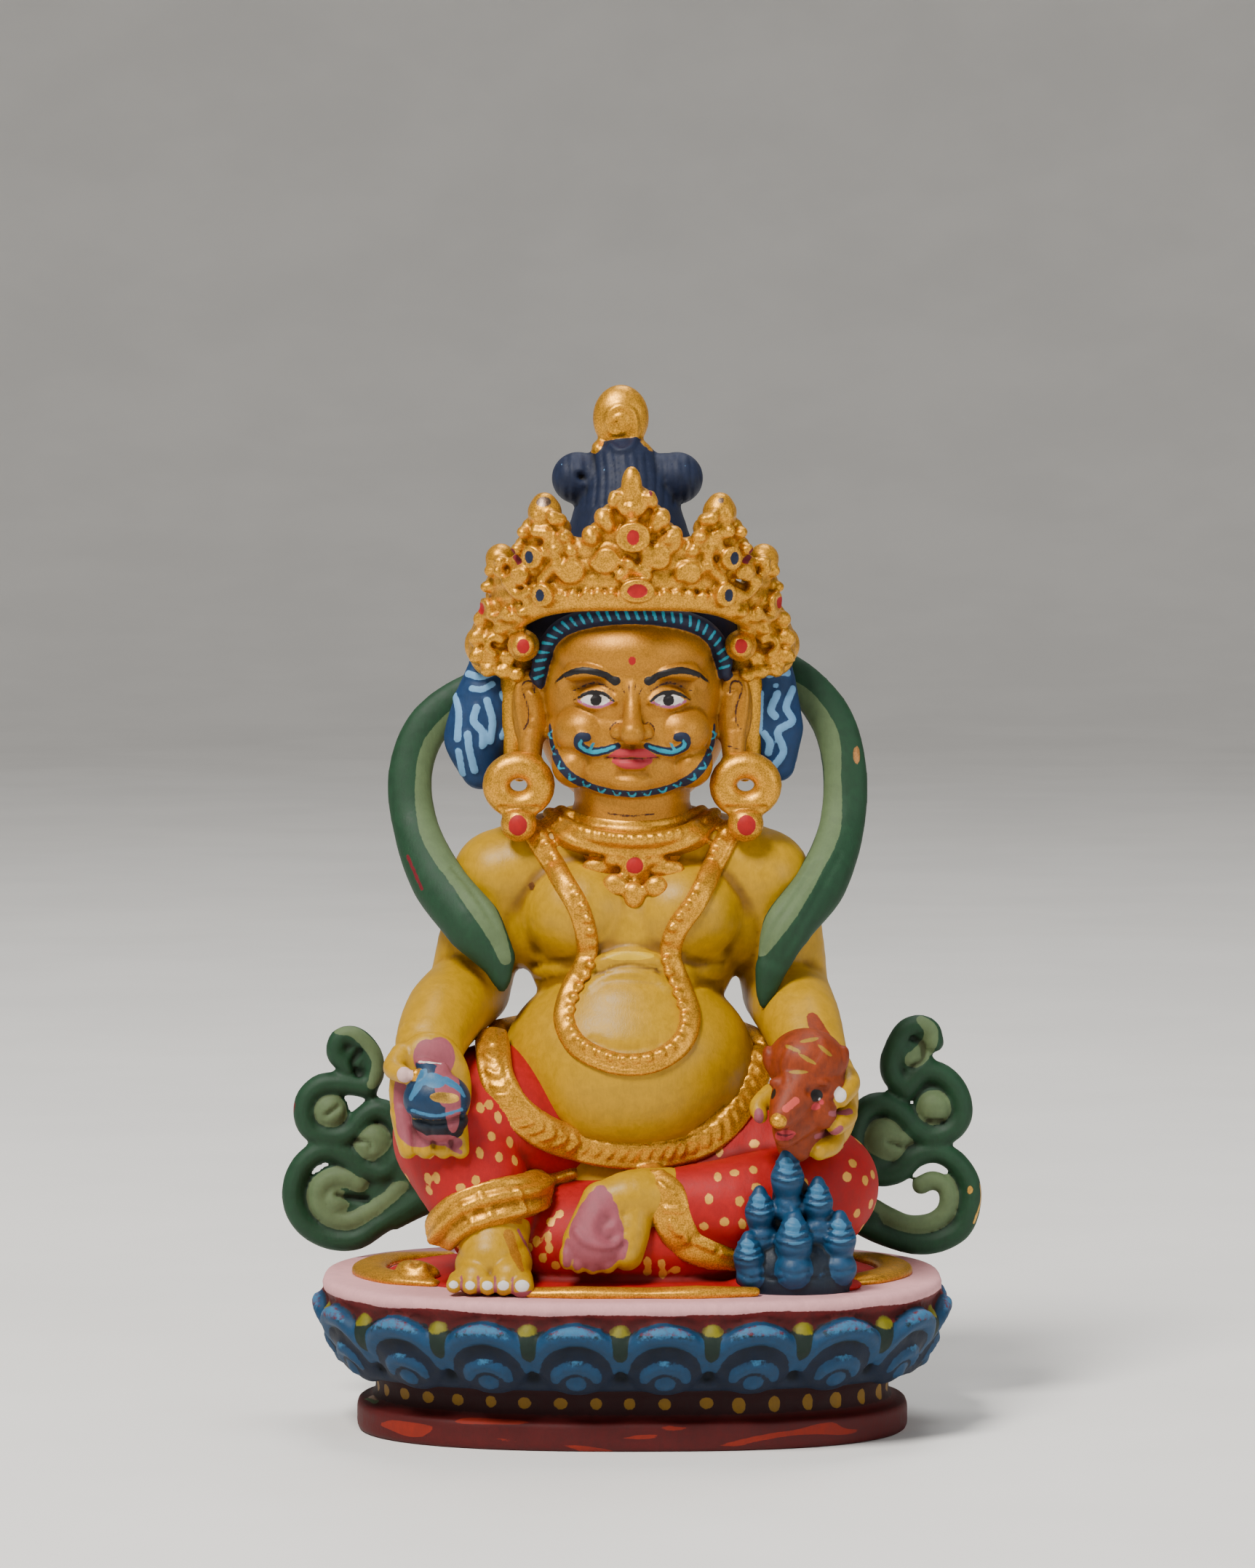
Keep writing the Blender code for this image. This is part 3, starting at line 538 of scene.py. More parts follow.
    def traced(self, tree, places, width, heading, spacing):
        """Balls along a line laid on the skin."""
        balls = []
        for place, (u, z) in smooth_path(places, spacing):
            point, _, _ = self.cast(tree, u, z, heading)
            if point is not None:
                radius = graded(width, place)
                balls.append((np.array(point), np.identity(3), np.full(3, max(radius, 0.02))))
        return balls

    def press(self, mesh):
        """Push the skin out or in along each relief line."""
        if not self.reliefs:
            return
        points, normals, edges = read_mesh(mesh)
        tree = skin_tree(mesh)
        push = np.zeros(len(points))
        for places, width, height, heading in self.reliefs:
            widest = max(width) if hasattr(width, "__len__") else width
            balls = self.traced(tree, places, 0.02, heading, 0.15)
            away = distance_to(points, balls, widest) / widest
            push += height * np.maximum(0, 1 - away ** 2) ** 2
        points += normals * push[:, None]
        mesh.vertices.foreach_set("co", points.ravel())
        mesh.update()

    def paint_fields(self, mesh, regions):
        """How far each point is from the edge of each paint, below zero inside it."""
        points, normals, edges = read_mesh(mesh)
        fields = regions(points) if regions else {}
        by_paint = {}
        for centre, spin, radii, paint in self.lumps:
            by_paint.setdefault(paint, []).append((centre, spin, radii))
        away = {paint: distance_to(points, lumps, PAINT_REACH) for paint, lumps in by_paint.items()}
        away.setdefault(self.ground, np.full(len(points), 0.22))
        for paint in by_paint:
            if paint != self.ground and len(away) > 1:
                others = np.min([away[other] for other in away if other != paint], axis=0)
                fields[paint + "_0"] = np.clip(0.7 * (away[paint] - others), -1, 1)
        if self.strokes:
            tree = skin_tree(mesh)
            batch, last = 0, None
            groups = []
            for paint, places, width, heading in self.strokes:
                if paint != last:
                    groups.append((paint, []))
                    last = paint
                if isinstance(heading, tuple):
                    heading, turn = heading
                    point, across, inward = self.cast(tree, places[0], places[1], heading)
                    if point is None:
                        continue
                    spin = np.array(Euler((0, math.radians(turn), math.radians(heading))).to_matrix())
                    radii = width if hasattr(width, "__len__") else (width, width)
                    groups[-1][1].append((np.array(point), spin, np.array((radii[0], max(radii), radii[1]))))
                else:
                    finest = min(width) if hasattr(width, "__len__") else width
                    groups[-1][1].extend(self.traced(tree, places, width, heading, max(0.08, 0.5 * finest)))
            for number, (paint, balls) in enumerate(groups, 1):
                fields[f"{paint}_{number}"] = distance_to(points, balls, 1.0)
        # How deep each point lies in a hollow; the finish darkens the paint there as painted shade.
        lowered = evened(points, edges, HOLLOW_TURNS)
        hollow = ((lowered - points) * normals).sum(axis=1)
        fields["hollow"] = evened(hollow, edges, 2)[:, 0]
        return fields


def skin_tree(mesh):
    bm = bmesh.new()
    bm.from_mesh(mesh)
    tree = BVHTree.FromBMesh(bm)
    bm.free()
    return tree


# Lotus base


def plan_point(width, depth, angle):
    """A point on the base's plan, an oval with squared shoulders."""
    across, along = math.sin(angle), -math.cos(angle)
    return Vector((math.copysign(abs(across) ** PLAN_SQUARENESS, across) * width / 2,
                   math.copysign(abs(along) ** PLAN_SQUARENESS, along) * depth / 2, 0))


def plan_angles(count, turn=0.0):
    """Angles that space the points evenly along the rim's outline, the first a share of a step round."""
    size = sizes()
    angles = [math.tau * step / 1440 for step in range(1441)]
    outline = [plan_point(size.rim_width, size.rim_depth, angle) for angle in angles]
    lengths = np.concatenate(([0], np.cumsum([(b - a).length for a, b in zip(outline, outline[1:])])))
    return list(np.interp((np.arange(count) + turn) * lengths[-1] / count, lengths, angles))


def loft(name, sections, count):
    """Bridge plan outlines, each a width, a depth and a height, and close both ends."""
    bm = bmesh.new()
    rings = []
    for width, depth, height in sections:
        ring = []
        for angle in plan_angles(count):
            ring.append(bm.verts.new(plan_point(width, depth, angle) + Vector((0, 0, height))))
        edges = [bm.edges.new(pair) for pair in zip(ring, ring[1:] + ring[:1])]
        rings.append(edges)
    for lower, upper in zip(rings, rings[1:]):
        bmesh.ops.bridge_loops(bm, edges=lower + upper)
    bmesh.ops.holes_fill(bm, edges=rings[0] + rings[-1])
    bmesh.ops.recalc_face_normals(bm, faces=bm.faces)
    return add_object(name, bm)


def bowl_section(share):
    """The lotus bowl's plan at a share of its height."""
    size = sizes()
    foot = (size.slab_width - 2.4 * MM, size.slab_depth - 2.4 * MM, size.slab_height + size.waist_height)
    brim = (size.rim_width - 2.2 * MM, size.rim_depth - 2.2 * MM, size.rim_height - size.rim_band)
    flare = math.sin(min(share / 0.8, 1) * math.pi / 2)
    return [low + (high - low) * part for low, high, part in zip(foot, brim, (flare, flare, share))]


def slab_profile():
    """Slab and waist outline as insets and heights in millimetres, from the underside up."""
    size = sizes()
    top = size.slab_height / MM
    lip = top + size.waist_height / MM
    return [(0.9, 0.0), (0.25, 0.03), (0.02, 0.35), (0, 0.5 * top), (0.02, top - 0.35), (0.22, top - 0.05),
            (0.75, top + 0.1), (1.15, top + 0.3), (1.42, top + 0.75), (1.5, top + 1.2), (1.4, lip - 0.5),
            (1.15, lip), (1.1, lip + 1.0)]


def wavering(points, spread, height):
    """Smooth random heights over points, the same every time."""
    return np.array([noise.noise(Vector(point) * spread) for point in points]) * height


def slab_fields(points):
    """The dark hollow with its row of yellow dots, red streaks and a knocked corner."""
    size = sizes()
    top = size.slab_height / MM
    fields = {"streak_1": 0.55 - wavering(points * (1, 1, 7), 0.16, 2.4) + np.abs(points[:, 2] - 1.1) * 0.5,
              "waist_red_2": (top + 0.45 - points[:, 2]) * 0.5}
    balls = []
    count = 41
    for index, angle in enumerate(plan_angles(count)):
        stray = noise.noise(Vector((index * 1.7, 3.1, 0)))
        wide = 0.50 + 0.14 * noise.noise(Vector((index * 2.3, 0, 5.5)))
        spot = plan_point(size.slab_width - 3.0 * MM, size.slab_depth - 3.0 * MM, angle + 0.03 * stray) / MM
        drag = 0.2 if 0.3 < angle < 1.4 else 0.0
        spot.z = top + 1.35 + 0.12 * stray - drag
        balls.append((np.array(spot), np.identity(3), np.array((wide, wide, 0.48 + drag))))
    fields["dot_3"] = distance_to(points, balls, 1.0)
    knock = [(-21.75, -1.5, 1.1), (-21.7, -1.6, 1.9), (-21.3, -2.5, 2.35), (-20.7, -4.5, 2.35)]
    pale = [(Vector(p), 0.34) for _, p in smooth_path(knock, 0.15)]
    bare = [(Vector(p) + Vector((0.1, 0.5, 0.1)), 0.26) for _, p in smooth_path(knock[1:], 0.15)]
    for name, marks in (("pale_green_4", pale), ("copper_5", bare)):
        balls = [(np.array(point), np.identity(3), np.full(3, radius)) for point, radius in marks]
        fields[name] = distance_to(points, balls, 1.0)
    return fields


class STATUETTE_OT_slab(bpy.types.Operator):
    """Make the slab and the hollow waist under the lotus"""
    bl_idname = "statuette.slab"
    bl_label = "Slab and Waist"

    def execute(self, context):
        size = sizes()
        profile = smooth_path(slab_profile(), 0.24)
        sections = [(size.slab_width - 2 * inset * MM, size.slab_depth - 2 * inset * MM, height * MM)
                    for _, (inset, height) in profile]
        item = loft("base_slab", sections, 380)
        points, normals, edges = read_mesh(item.data)
        points /= MM
        sway = wavering(points, 0.14, 0.10) * np.clip(points[:, 2] / 0.6, 0, 1)
        points[:, :2] += normals[:, :2] * sway[:, None]
        item.data.vertices.foreach_set("co", (points * MM).ravel())
        item.data.update()
        fields = slab_fields(points)
        # Painted shade: a slight darkening over the slab and more on the waist above 2.6 mm, which lies under the
        # lotus.
        fields["hollow"] = 0.02 + 0.05 * (points[:, 2] > 2.6)
        for field, values in fields.items():
            add_field(item.data, field, values)
        layers = [(field, field.rsplit("_", 1)[0]) for field in fields if field != "hollow"]
        mount(item, painted_finish("base_slab_paint", "slab_red", layers))
        return {'FINISHED'}


def petal_frame(angle):
    """The middle of a petal on the bowl's wall, with its headings along, outward and up its slope."""
    size = sizes()
    here, there = [plan_point(size.rim_width, size.rim_depth, angle + step) for step in (0, 0.001)]
    along = (there - here).normalized()
    outward = Vector((along.y, -along.x, 0))
    foot, middle, brim = [plan_point(width, depth, angle) + Vector((0, 0, height))
                          for width, depth, height in (bowl_section(share) for share in (0, 0.53, 0.8))]
    tilt = 0.7 * math.atan2((brim - foot).dot(outward), (brim - foot).z)
    up = outward * math.sin(tilt) + Vector((0, 0, math.cos(tilt)))
    out = outward * math.cos(tilt) - Vector((0, 0, math.sin(tilt)))
    return middle / MM, along, out, up


def add_petal(clay, angle, index):
    """A plump petal with a thick arched rim and a raised crescent in it."""
    middle, along, out, up = petal_frame(angle)
    turn = [math.degrees(part) for part in Matrix((along, -out, up)).transposed().to_euler()]
    stray = noise.noise(Vector((index * 1.9, 0.4, 2.2)))

    def place(u, w, n):
        return middle + along * u + up * w + out * n

    clay.use("petal_dark")
    clay.ball(place(0, -0.2, -0.25), (3.3, 1.2, 3.3), turn)
    for side in (-1, 1):
        clay.ball(place(side * 1.45, 0.8, -0.3), (2.0, 1.1, 2.2), turn)
    rim = [(-3.15, -0.9), (-3.0, 0.9), (-1.95, 2.45), (0.1 * stray, 3.05), (1.95, 2.45), (3.0, 0.9), (3.15, -0.9)]
    lifts = (0.2, 0.35, 0.42, 0.4, 0.42, 0.35, 0.2)
    moon = [(-1.7, -1.4), (-1.3, -0.35), (0.12 * stray, 0.3), (1.3, -0.35), (1.7, -1.4)]
    arch = [place(u, w, n) for (u, w), n in zip(rim, lifts)]
    clay.use("petal_mid")
    clay.strand(arch, [0.15, 0.5, 0.72, 0.8, 0.72, 0.5, 0.15])
    clay.strand([place(u, w, 0.8) for u, w in moon], [0.2, 0.48, 0.6, 0.48, 0.2])
    clay.ball(place(0, -1.5, 0.8), (0.75, 0.4, 0.8), turn)
    clay.use("petal_light")
    clay.strand([point + up * 0.22 + out * 0.1 for point in arch[1:-1]], [0.14, 0.5, 0.62, 0.5, 0.14])
    clay.strand([place(u, w + 0.18, 0.88) for u, w in moon[1:-1]], [0.24, 0.44, 0.24])


def add_bud(clay, angle, band):
    size = sizes()
    spot = plan_point(size.rim_width - 1.6 * MM, size.rim_depth - 1.6 * MM, angle) / MM
    clay.use("leaf_dark")
    clay.ball((spot.x, spot.y, band - 1.1), (1.05, 1.05, 1.3))
    clay.use("leaf_light")
    clay.ball((spot.x * 1.008, spot.y * 1.008, band - 0.3), (0.74, 0.74, 0.66))


def lotus_regions(points):
    """Pink top with a wavering lower edge, and dark leaf and petal colours under the band."""
    size = sizes()
    top = size.rim_height / MM
    band = top - size.rim_band / MM
    height = points[:, 2]
    sway = wavering(points * (1, 1, 0), 0.22, 0.5)
    return {"leaf_dark_1": (height - band + 0.1 + 0.3 * sway) * 0.8,
            "petal_dark_2": (height - band + 1.7) * 0.8,
            "waist_red_2": (height - 4.7 - 0.2 * sway) * 0.8,
            "pink_3": (top - 1.0 + 0.7 * sway - height) * 0.8}


class STATUETTE_OT_lotus(bpy.types.Operator):
    """Make the lotus bowl, its petals with raised rims, the buds between them and the pink top"""
    bl_idname = "statuette.lotus"
    bl_label = "Lotus"

    def execute(self, context):
        size = sizes()
        clay = Clay("band_red", MM, 0.0)
        top = size.rim_height / MM
        band = top - size.rim_band / MM
        profile = [(width / MM, depth / MM, height / MM)
                   for width, depth, height in (bowl_section(share) for share in (0, 0.16, 0.32, 0.48, 0.64))]
        wide, deep = size.rim_width / MM, size.rim_depth / MM
        for inset, height in ((0.55, band), (0.5, band + 0.9), (0.28, band + 1.2), (0.04, band + 1.5), (0, top - 0.5),
                              (0.12, top - 0.2), (0.42, top - 0.03), (1.0, top)):
            profile.append((wide - 2 * inset, deep - 2 * inset, height))
        bowl = loft("bowl", profile, 200)
        for index, angle in enumerate(plan_angles(size.petals, size.petal_turn)):
            add_petal(clay, angle, index)
        for angle in plan_angles(size.petals, size.petal_turn + 0.5):
            add_bud(clay, angle, band)
        clay.use("petal_dark")
        foot = [plan_point(size.slab_width + 0.6 * MM, size.slab_depth + 0.6 * MM,
                           angle) / MM for angle in plan_angles(72)]
        clay.strand([(x, y, band - 4.55) for x, y, _ in foot + foot[:1]], 0.75, (1.25, 1.25, 1), step=0.8)
        clay.melt("lotus", 0.32, 2, bowl, lotus_regions)
        return {'FINISHED'}


# Body, legs and cloth


def add_torso(clay):
    clay.use("yellow")
    clay.ball((0, 1.2, 7), (11.0, 8, 7.5))
    clay.ball((0, 1.0, 13), (9.8, 7.2, 8.5))
    clay.ball((-0.3, -1.3, 16.6), (10.2, 8.3, 8.4))
    clay.ball((-0.2, -1.7, 20.4), (7.6, 6.4, 5.2))
    clay.ball((0, 0.8, 26.5), (8.5, 6.0, 8.5))
    for side in (-1, 1):
        clay.ball((side * 8.2, 1.0, 28.8), (3.2, 3.6, 4.6))
        clay.ball((side * 4.0, -1.7, 29.0), (4.7, 4.2, 4.2))
        clay.strand([(0, 1.2, 34.4), (side * 5.5, 1.2, 33.4), (side * 10.2, 1.0, 31.7)], [3.6, 3.7, 3.9])
    clay.ball((0, -3.2, 24.6), (5.2, 3.0, 2.2))


def add_arms(clay):
    """Upper arms and forearms down to the wrists."""
    clay.strand([(-10.5, 1.0, 31.6), (-12.0, 1.6, 27), (-13.0, 2.0, 22.8)], [3.9, 3.4, 3.3])
    clay.strand([(-13.0, 2.0, 22.6), (-14.8, -4.0, 21.2), (-15.8, -8.2, 19.4), (-15.9, -9.6, 17.6)],
                [3.3, 3.2, 2.8, 2.4])
    clay.strand([(10.4, 1.0, 31.6), (11.6, 1.8, 27), (12.3, 2.4, 22.4)], [3.9, 3.7, 3.5])
    clay.strand([(12.3, 2.4, 22.4), (13.4, -3.5, 20.4), (14.4, -7.6, 17.6)], [3.5, 3.2, 2.7])


def add_folds(clay):
    """Waist creases, the fold over the belly and the round panel inside the long necklace."""
    clay.relief([(-8.0, 24.6), (-6.2, 25.2), (-4.6, 25.1)], 0.45, -0.22)
    clay.relief([(-7.6, 23.4), (-6.0, 23.8), (-5.2, 23.7)], 0.45, -0.18)
    clay.relief([(4.0, 25.2), (5.6, 25.1), (7.4, 24.9)], 0.45, -0.22)
    clay.relief([(4.8, 23.3), (6.2, 23.5), (7.4, 23.4)], 0.45, -0.18)
    clay.relief([(-2.4, 25.4), (-0.9, 26.0), (0.5, 26.0), (1.9, 25.5)], 0.75, 0.34)
    clay.relief([(-2.6, 24.6), (-0.9, 25.1), (0.5, 25.1), (2.1, 24.7)], 0.45, -0.34)
    clay.relief([(-3.4, 23.4), (-2.0, 24.4), (-0.2, 24.6), (1.6, 24.3), (2.8, 23.4)], 0.6, 0.24)
    clay.relief([(-3.2, 19.5), (-1.6, 18.9), (0.4, 18.9), (2.0, 19.3)], 0.5, -0.16)
    clay.relief([(-7.4, 14.0), (-4.6, 11.6), (-0.3, 10.9), (4.2, 11.6), (7.2, 14.0)], 0.9, -0.2)
    # Painted highlight: a pale yellow strip along the crest of the fold over the belly.
    clay.dab("pale_yellow", (-0.2, 25.9), (2.0, 0.34))


LONG_NECKLACE = [(-8.3, 36.0), (-7.5, 34.9), (-5.8, 32.3), (-4.2, 29.7), (-3.5, 27.0), (-3.7, 25.1), (-4.9, 22.8),
                 (-5.3, 20.9),
                 (-4.4, 19.2), (-2.6, 18.2), (-0.5, 17.7), (1.9, 18.0), (3.9, 19.3), (4.5, 21.2), (3.8, 23.4),
                 (3.0, 25.7), (3.5, 28.0), (5.2, 30.5), (7.3, 34.6), (8.2, 35.8)]


def beside(places, offset):
    """The places moved sideways from their own line."""
    moved = []
    for index, (x, z) in enumerate(places):
        before = places[max(index - 1, 0)]
        after = places[min(index + 1, len(places) - 1)]
        dx, dz = after[0] - before[0], after[1] - before[1]
        length = math.hypot(dx, dz)
        moved.append((x - dz / length * offset, z + dx / length * offset))
    return moved


def add_necklaces(clay):
    """Collar, long beaded necklace and the flower between them."""
    clay.use("gold")
    chain = clay.laid(LONG_NECKLACE, 0.5, -0.05)
    outer = clay.laid(beside(LONG_NECKLACE, -0.62), 0.5, 0.12)
    inner = clay.laid(beside(LONG_NECKLACE, 0.36), 0.5, 0.32)
    clay.strand([point for _, point in chain], 0.88, (1, 0.45, 1))
    clay.strand([point for _, point in outer], 0.34)
    clay.beads([point for _, point in inner], 0.98, (0.46, 0.42, 0.4))
    clay.strand([(0, 0.9, 33.2), (0, 0.6, 34.4)], 5.1, (1, 0.93, 1))
    clay.ball((0, -1.3, 34.9), (6.3, 3.7, 1.7))
    clay.strand([(-5.8, 0.6, 36.3), (-4.0, 4.2, 36.5), (0, 5.7, 36.7), (4.0, 4.2, 36.5), (5.8, 0.6, 36.3)], 0.8)
    for rise, girth in ((0.0, 0.42), (1.05, 0.6), (2.15, 0.5)):
        line = [(-6.9 + 0.3 * rise, 36.2 + 0.5 * rise), (-4.9, 34.9 + 0.85 * rise), (-1.8, 34.1 + rise), (1.4,
            34.0 + rise),
                (4.4, 34.7 + 0.9 * rise), (6.9 - 0.3 * rise, 36.2 + 0.5 * rise)]
        cord = [point for _, point in clay.laid(line, 0.4, 0.1)]
        clay.strand(cord, girth, (1, 0.75, 1))
        if rise == 1.05:
            clay.beads(cord, 0.72, (0.24, 0.3, 0.55), (0, -0.36, 0))
    add_flower(clay)


def add_flower(clay):
    lobes = ((-2.6, 32.8, 1.4, 0.8), (-1.4, 31.4, 1.0, 0.95), (2.8, 32.6, 1.4, 0.8), (1.9, 31.3, 0.95, 0.9),
             (0.15, 30.6, 0.9, 1.1), (-1.5, 33.4, 0.8, 0.6), (1.8, 33.4, 0.8, 0.6))
    spots = [(x, clay.front(x, z), z, wide, tall) for x, z, wide, tall in lobes]
    centre = clay.front(0.2, 33.0)
    for x, y, z, wide, tall in spots:
        clay.ball((x, y - 0.15, z), (wide, 0.6, tall))
    clay.ball((0.2, centre, 32.95), (1.2, 0.95, 1.15))
    clay.ball((0.15, centre + 0.2, 31.9), (1.2, 0.5, 1.2))


BELT = [(-11.2, 19.5), (-10.5, 16.2), (-8.4, 13.3), (-4.8, 11.2), (0, 10.4), (4.6, 10.9), (7.4, 12.7), (9.4, 15.6),
        (10.2, 18.4)]


def add_belt(clay):
    """The broad gilt belt laid round the belly, over the lap in front."""
    whole = Clay("yellow")
    add_torso(whole)
    add_legs(whole)
    clay.use("gold")
    clay.strand([point for _, point in whole.laid(BELT, 0.4, 0.1)], 1.45, (1, 0.3, 1))
    clay.strand([(-10.6, 0.5, 18.8), (-8.2, 4.2, 18.9), (-4.5, 6.5, 19.0), (0, 7.2, 19.0), (4.5, 6.5, 18.8),
                 (8.2, 4.2, 18.4), (10.6, 0.5, 17.8)], 1.15, (1, 1, 1.3))
    for offset in (-1.1, 1.1):
        clay.relief(beside(BELT, offset), 0.34, 0.17)
    middle = [tuple(point) for _, point in smooth_path(BELT, 1.15)]
    for index, (above, below) in enumerate(zip(beside(middle, 0.5), beside(middle, -0.5))):
        ahead = middle[min(index + 1, len(middle) - 1)]
        clay.relief([above, ((above[0] + ahead[0]) / 2, (above[1] + ahead[1]) / 2), below], 0.3, 0.2)


class STATUETTE_OT_body(bpy.types.Operator):
    """Make the torso and arms"""
    bl_idname = "statuette.body"
    bl_label = "Body"

    def execute(self, context):
        clay = Clay("yellow")
        add_torso(clay)
        add_arms(clay)
        add_folds(clay)
        clay.stroke("orange", [(14.2, 21.2), (15.0, 19.6), (15.6, 18.4)], [0.5, 0.9, 1.0])
        clay.dab("copper", (-8.0, 31.2), (0.28, 0.52), turn=-35)
        clay.melt("torso", 0.37)
        return {'FINISHED'}


class STATUETTE_OT_necklaces(bpy.types.Operator):
    """Make the collar, the long beaded necklace and the flower pendant"""
    bl_idname = "statuette.necklaces"
    bl_label = "Necklaces"

    def execute(self, context):
        clay = Clay("gold")
        add_torso(clay)
        add_necklaces(clay)
        clay.lumps = [lump for lump in clay.lumps if lump[3] == "gold"]
        clay.dab("red", (0.2, 32.95), (0.72, 0.68))
        clay.melt("necklaces", 0.185)
        return {'FINISHED'}


def add_legs(clay):
    """Knees and shins under the red cloth."""
    clay.use("red")
    clay.strand([(-6.5, 0.5, 11.5), (-10.8, -3.5, 12.6), (-13.9, -7.0, 11.8)], [7.0, 6.2, 5.0])
    clay.strand([(-13.9, -7.0, 11.6), (-12.5, -8.4, 8.4), (-11.2, -8.8, 5.6)], [5.0, 4.3, 3.5])
    clay.strand([(6.5, 0.5, 9.5), (11.5, -1.5, 8.2), (14.8, -4.0, 7.4)], [7.0, 5.8, 4.8])
    clay.strand([(14.4, -4.6, 6.6), (9.0, -8.2, 6.4), (4.2, -9.0, 6.6)], [4.6, 4.0, 3.0])
    clay.ball((0, -3.5, 3.4), (14.5, 8.0, 5.2))
    clay.ball((0, 2.4, 7.4), (11.4, 7.6, 7.6))
    clay.ball((0, 2.6, 12.6), (10.3, 6.9, 7.4))


def add_spread(clay):
    """The cloth spread on the lotus, with gilt lobes at both sides and a gilt border in front."""
    size = sizes()
    across = (size.rim_width / 2 - 3.4 * MM) / square()
    along = (size.rim_depth / 2 - 3.2 * MM) / square()
    clay.use("red")
    clay.ball((0, -0.5, 0.1), (0.93 * across, 0.93 * along, 0.75))
    clay.ball((1.5, -6.5, 0.1), (12.5, 8.2, 0.6))
    clay.ball((12.6, -9.8, 0.3), (5.6, 3.2, 0.8))
    clay.use("gold")
    for side in (-1, 1):
        edge = [(0.70, 8), (0.90, 5.5), (0.975, 1.5), (0.965, -2.5), (0.87, -6.2), (0.74, -8.2)]
        clay.strand([(side * share * across, y, 0.2) for share, y in edge], [0.6, 1.0, 1.15, 1.2, 1.15, 0.7],
                    (1.25, 1.25, 0.55))
    front = [(-8.4, -1.02 * along, 0.25), (-4, -1.045 * along, 0.3), (1, -1.05 * along, 0.28), (5, -1.04 * along,
                                                                                                0.3),
             (9.6, -0.985 * along, 0.25)]
    clay.strand(front, [0.4, 0.62, 0.46, 0.66, 0.4], (1, 1, 0.8))
    clay.strand([(x, y + 0.7 - 0.05 * x % 0.6, 0.5) for x, y, _ in front], [0.3, 0.5, 0.34, 0.52, 0.3], (1.6, 1.6,
                                                                                                         0.8))


def add_hems(clay):
    """Gilt hems over the left ankle and down the middle."""
    clay.use("gold")
    left = [(-16.0, 1.2), (-15.2, 4.0), (-13.4, 6.1), (-10.4, 7.2), (-7.0, 7.6), (-4.6, 8.2)]
    clay.drape(left, [1.2, 1.7, 1.9, 1.9, 1.7, 1.2], (1, 0.26, 1))
    right = [(0.8, 8.8), (2.6, 7.6), (3.3, 5.6), (4.4, 3.9), (6.4, 2.9), (9.0, 2.3)]
    clay.drape(right, [1.1, 1.6, 1.7, 1.6, 1.4, 1.0], (1, 0.3, 1))
    clay.ball((-16.9, -6.2, 0.9), (1.8, 1.6, 0.8), (0, 12, 0))
    for offset, height in ((-1.1, 0.24), (-0.3, -0.26), (0.5, 0.2), (1.2, -0.2)):
        clay.relief(beside(left, offset), 0.5, height)
    for first, last in (((-13.2, 7.1), (-12.4, 5.6)), ((-11.9, 7.9), (-11.0, 6.2)), ((-9.0, 8.2), (-8.4, 6.8)),
                        ((2.1, 8.6), (2.9, 7.9)), ((2.6, 6.6), (4.0, 6.5)), ((3.0, 5.6), (3.6, 4.6)),
                        ((3.9, 5.0), (4.3, 4.0)), ((5.0, 3.9), (6.4, 3.3)), ((7.0, 3.0), (8.4, 2.6))):
        clay.relief([first, last], 0.32, 0.26)


def add_dots(clay):
    """Gilt flecks scattered on the red cloth, seen from all round."""
    front = [(-12.3, 18.6), (-11.6, 17.0), (-11.9, 14.4), (-11.2, 14.6), (-10.5, 13.6), (-11.0, 12.2), (-9.6, 11.6),
             (-11.9, 11.0), (-10.4, 10.6), (-9.2, 10.2), (-12.2, 8.9), (-15.3, 9.0), (-15.9, 7.9), (-9.3, 5.2),
             (-6.4, 5.3), (-6.6, 4.2), (-7.5, 3.8), (-6.5, 3.3), (-7.0, 2.5), (-6.0, 1.9), (-5.7, 5.9),
             (1.2, 2.3), (2.3, 2.1), (1.2, 1.5), (2.4, 1.3), (3.4, 1.6), (6.7, 9.0), (8.0, 9.3), (9.5, 9.5),
             (6.0, 7.4), (8.4, 7.2), (7.2, 5.6), (8.6, 5.4), (5.6, 5.2), (18.4, 8.2), (18.9, 6.2), (18.2, 4.2),
             (17.4, 9.6), (6.9, 10.4), (12.0, 8.6)]
    for index, (x, z) in enumerate(front):
        stray = noise.noise(Vector((index * 1.3, 4.2, 0.7)))
        clay.dab("dot_gold", (x, z), (0.34 + 0.12 * stray, 0.44 - 0.16 * stray), turn=25 * stray)
    for heading in (-60, -95, -130, -165, 60, 95, 130, 165):
        for row in range(5):
            for step in range(4):
                stray = noise.noise(Vector((heading * 0.37, row * 1.9, step * 2.7)))
                u = -5.0 + 3.1 * step + 1.2 * (row % 2) + stray
                clay.dab("dot_gold", (u, 3.0 + 2.7 * row + 0.8 * stray), (0.42, 0.36 + 0.2 * abs(stray)), heading)


class STATUETTE_OT_lap(bpy.types.Operator):
    """Make the red cloth over the knees, its gilt hems and its spread on the lotus"""
    bl_idname = "statuette.lap"
    bl_label = "Lap Cloth"

    def execute(self, context):
        clay = Clay("red")
        add_legs(clay)
        add_spread(clay)
        add_hems(clay)
        add_belt(clay)
        trims = Clay("gold")
        trims.lumps = [lump for lump in clay.lumps if lump[3] == "gold"]
        trims.reliefs, clay.reliefs = clay.reliefs, []
        clay.lumps = [lump for lump in clay.lumps if lump[3] == "red"]
        add_dots(clay)
        clay.melt("lap_cloth", 0.32)
        trims.melt("gilt_trims", 0.235)
        return {'FINISHED'}


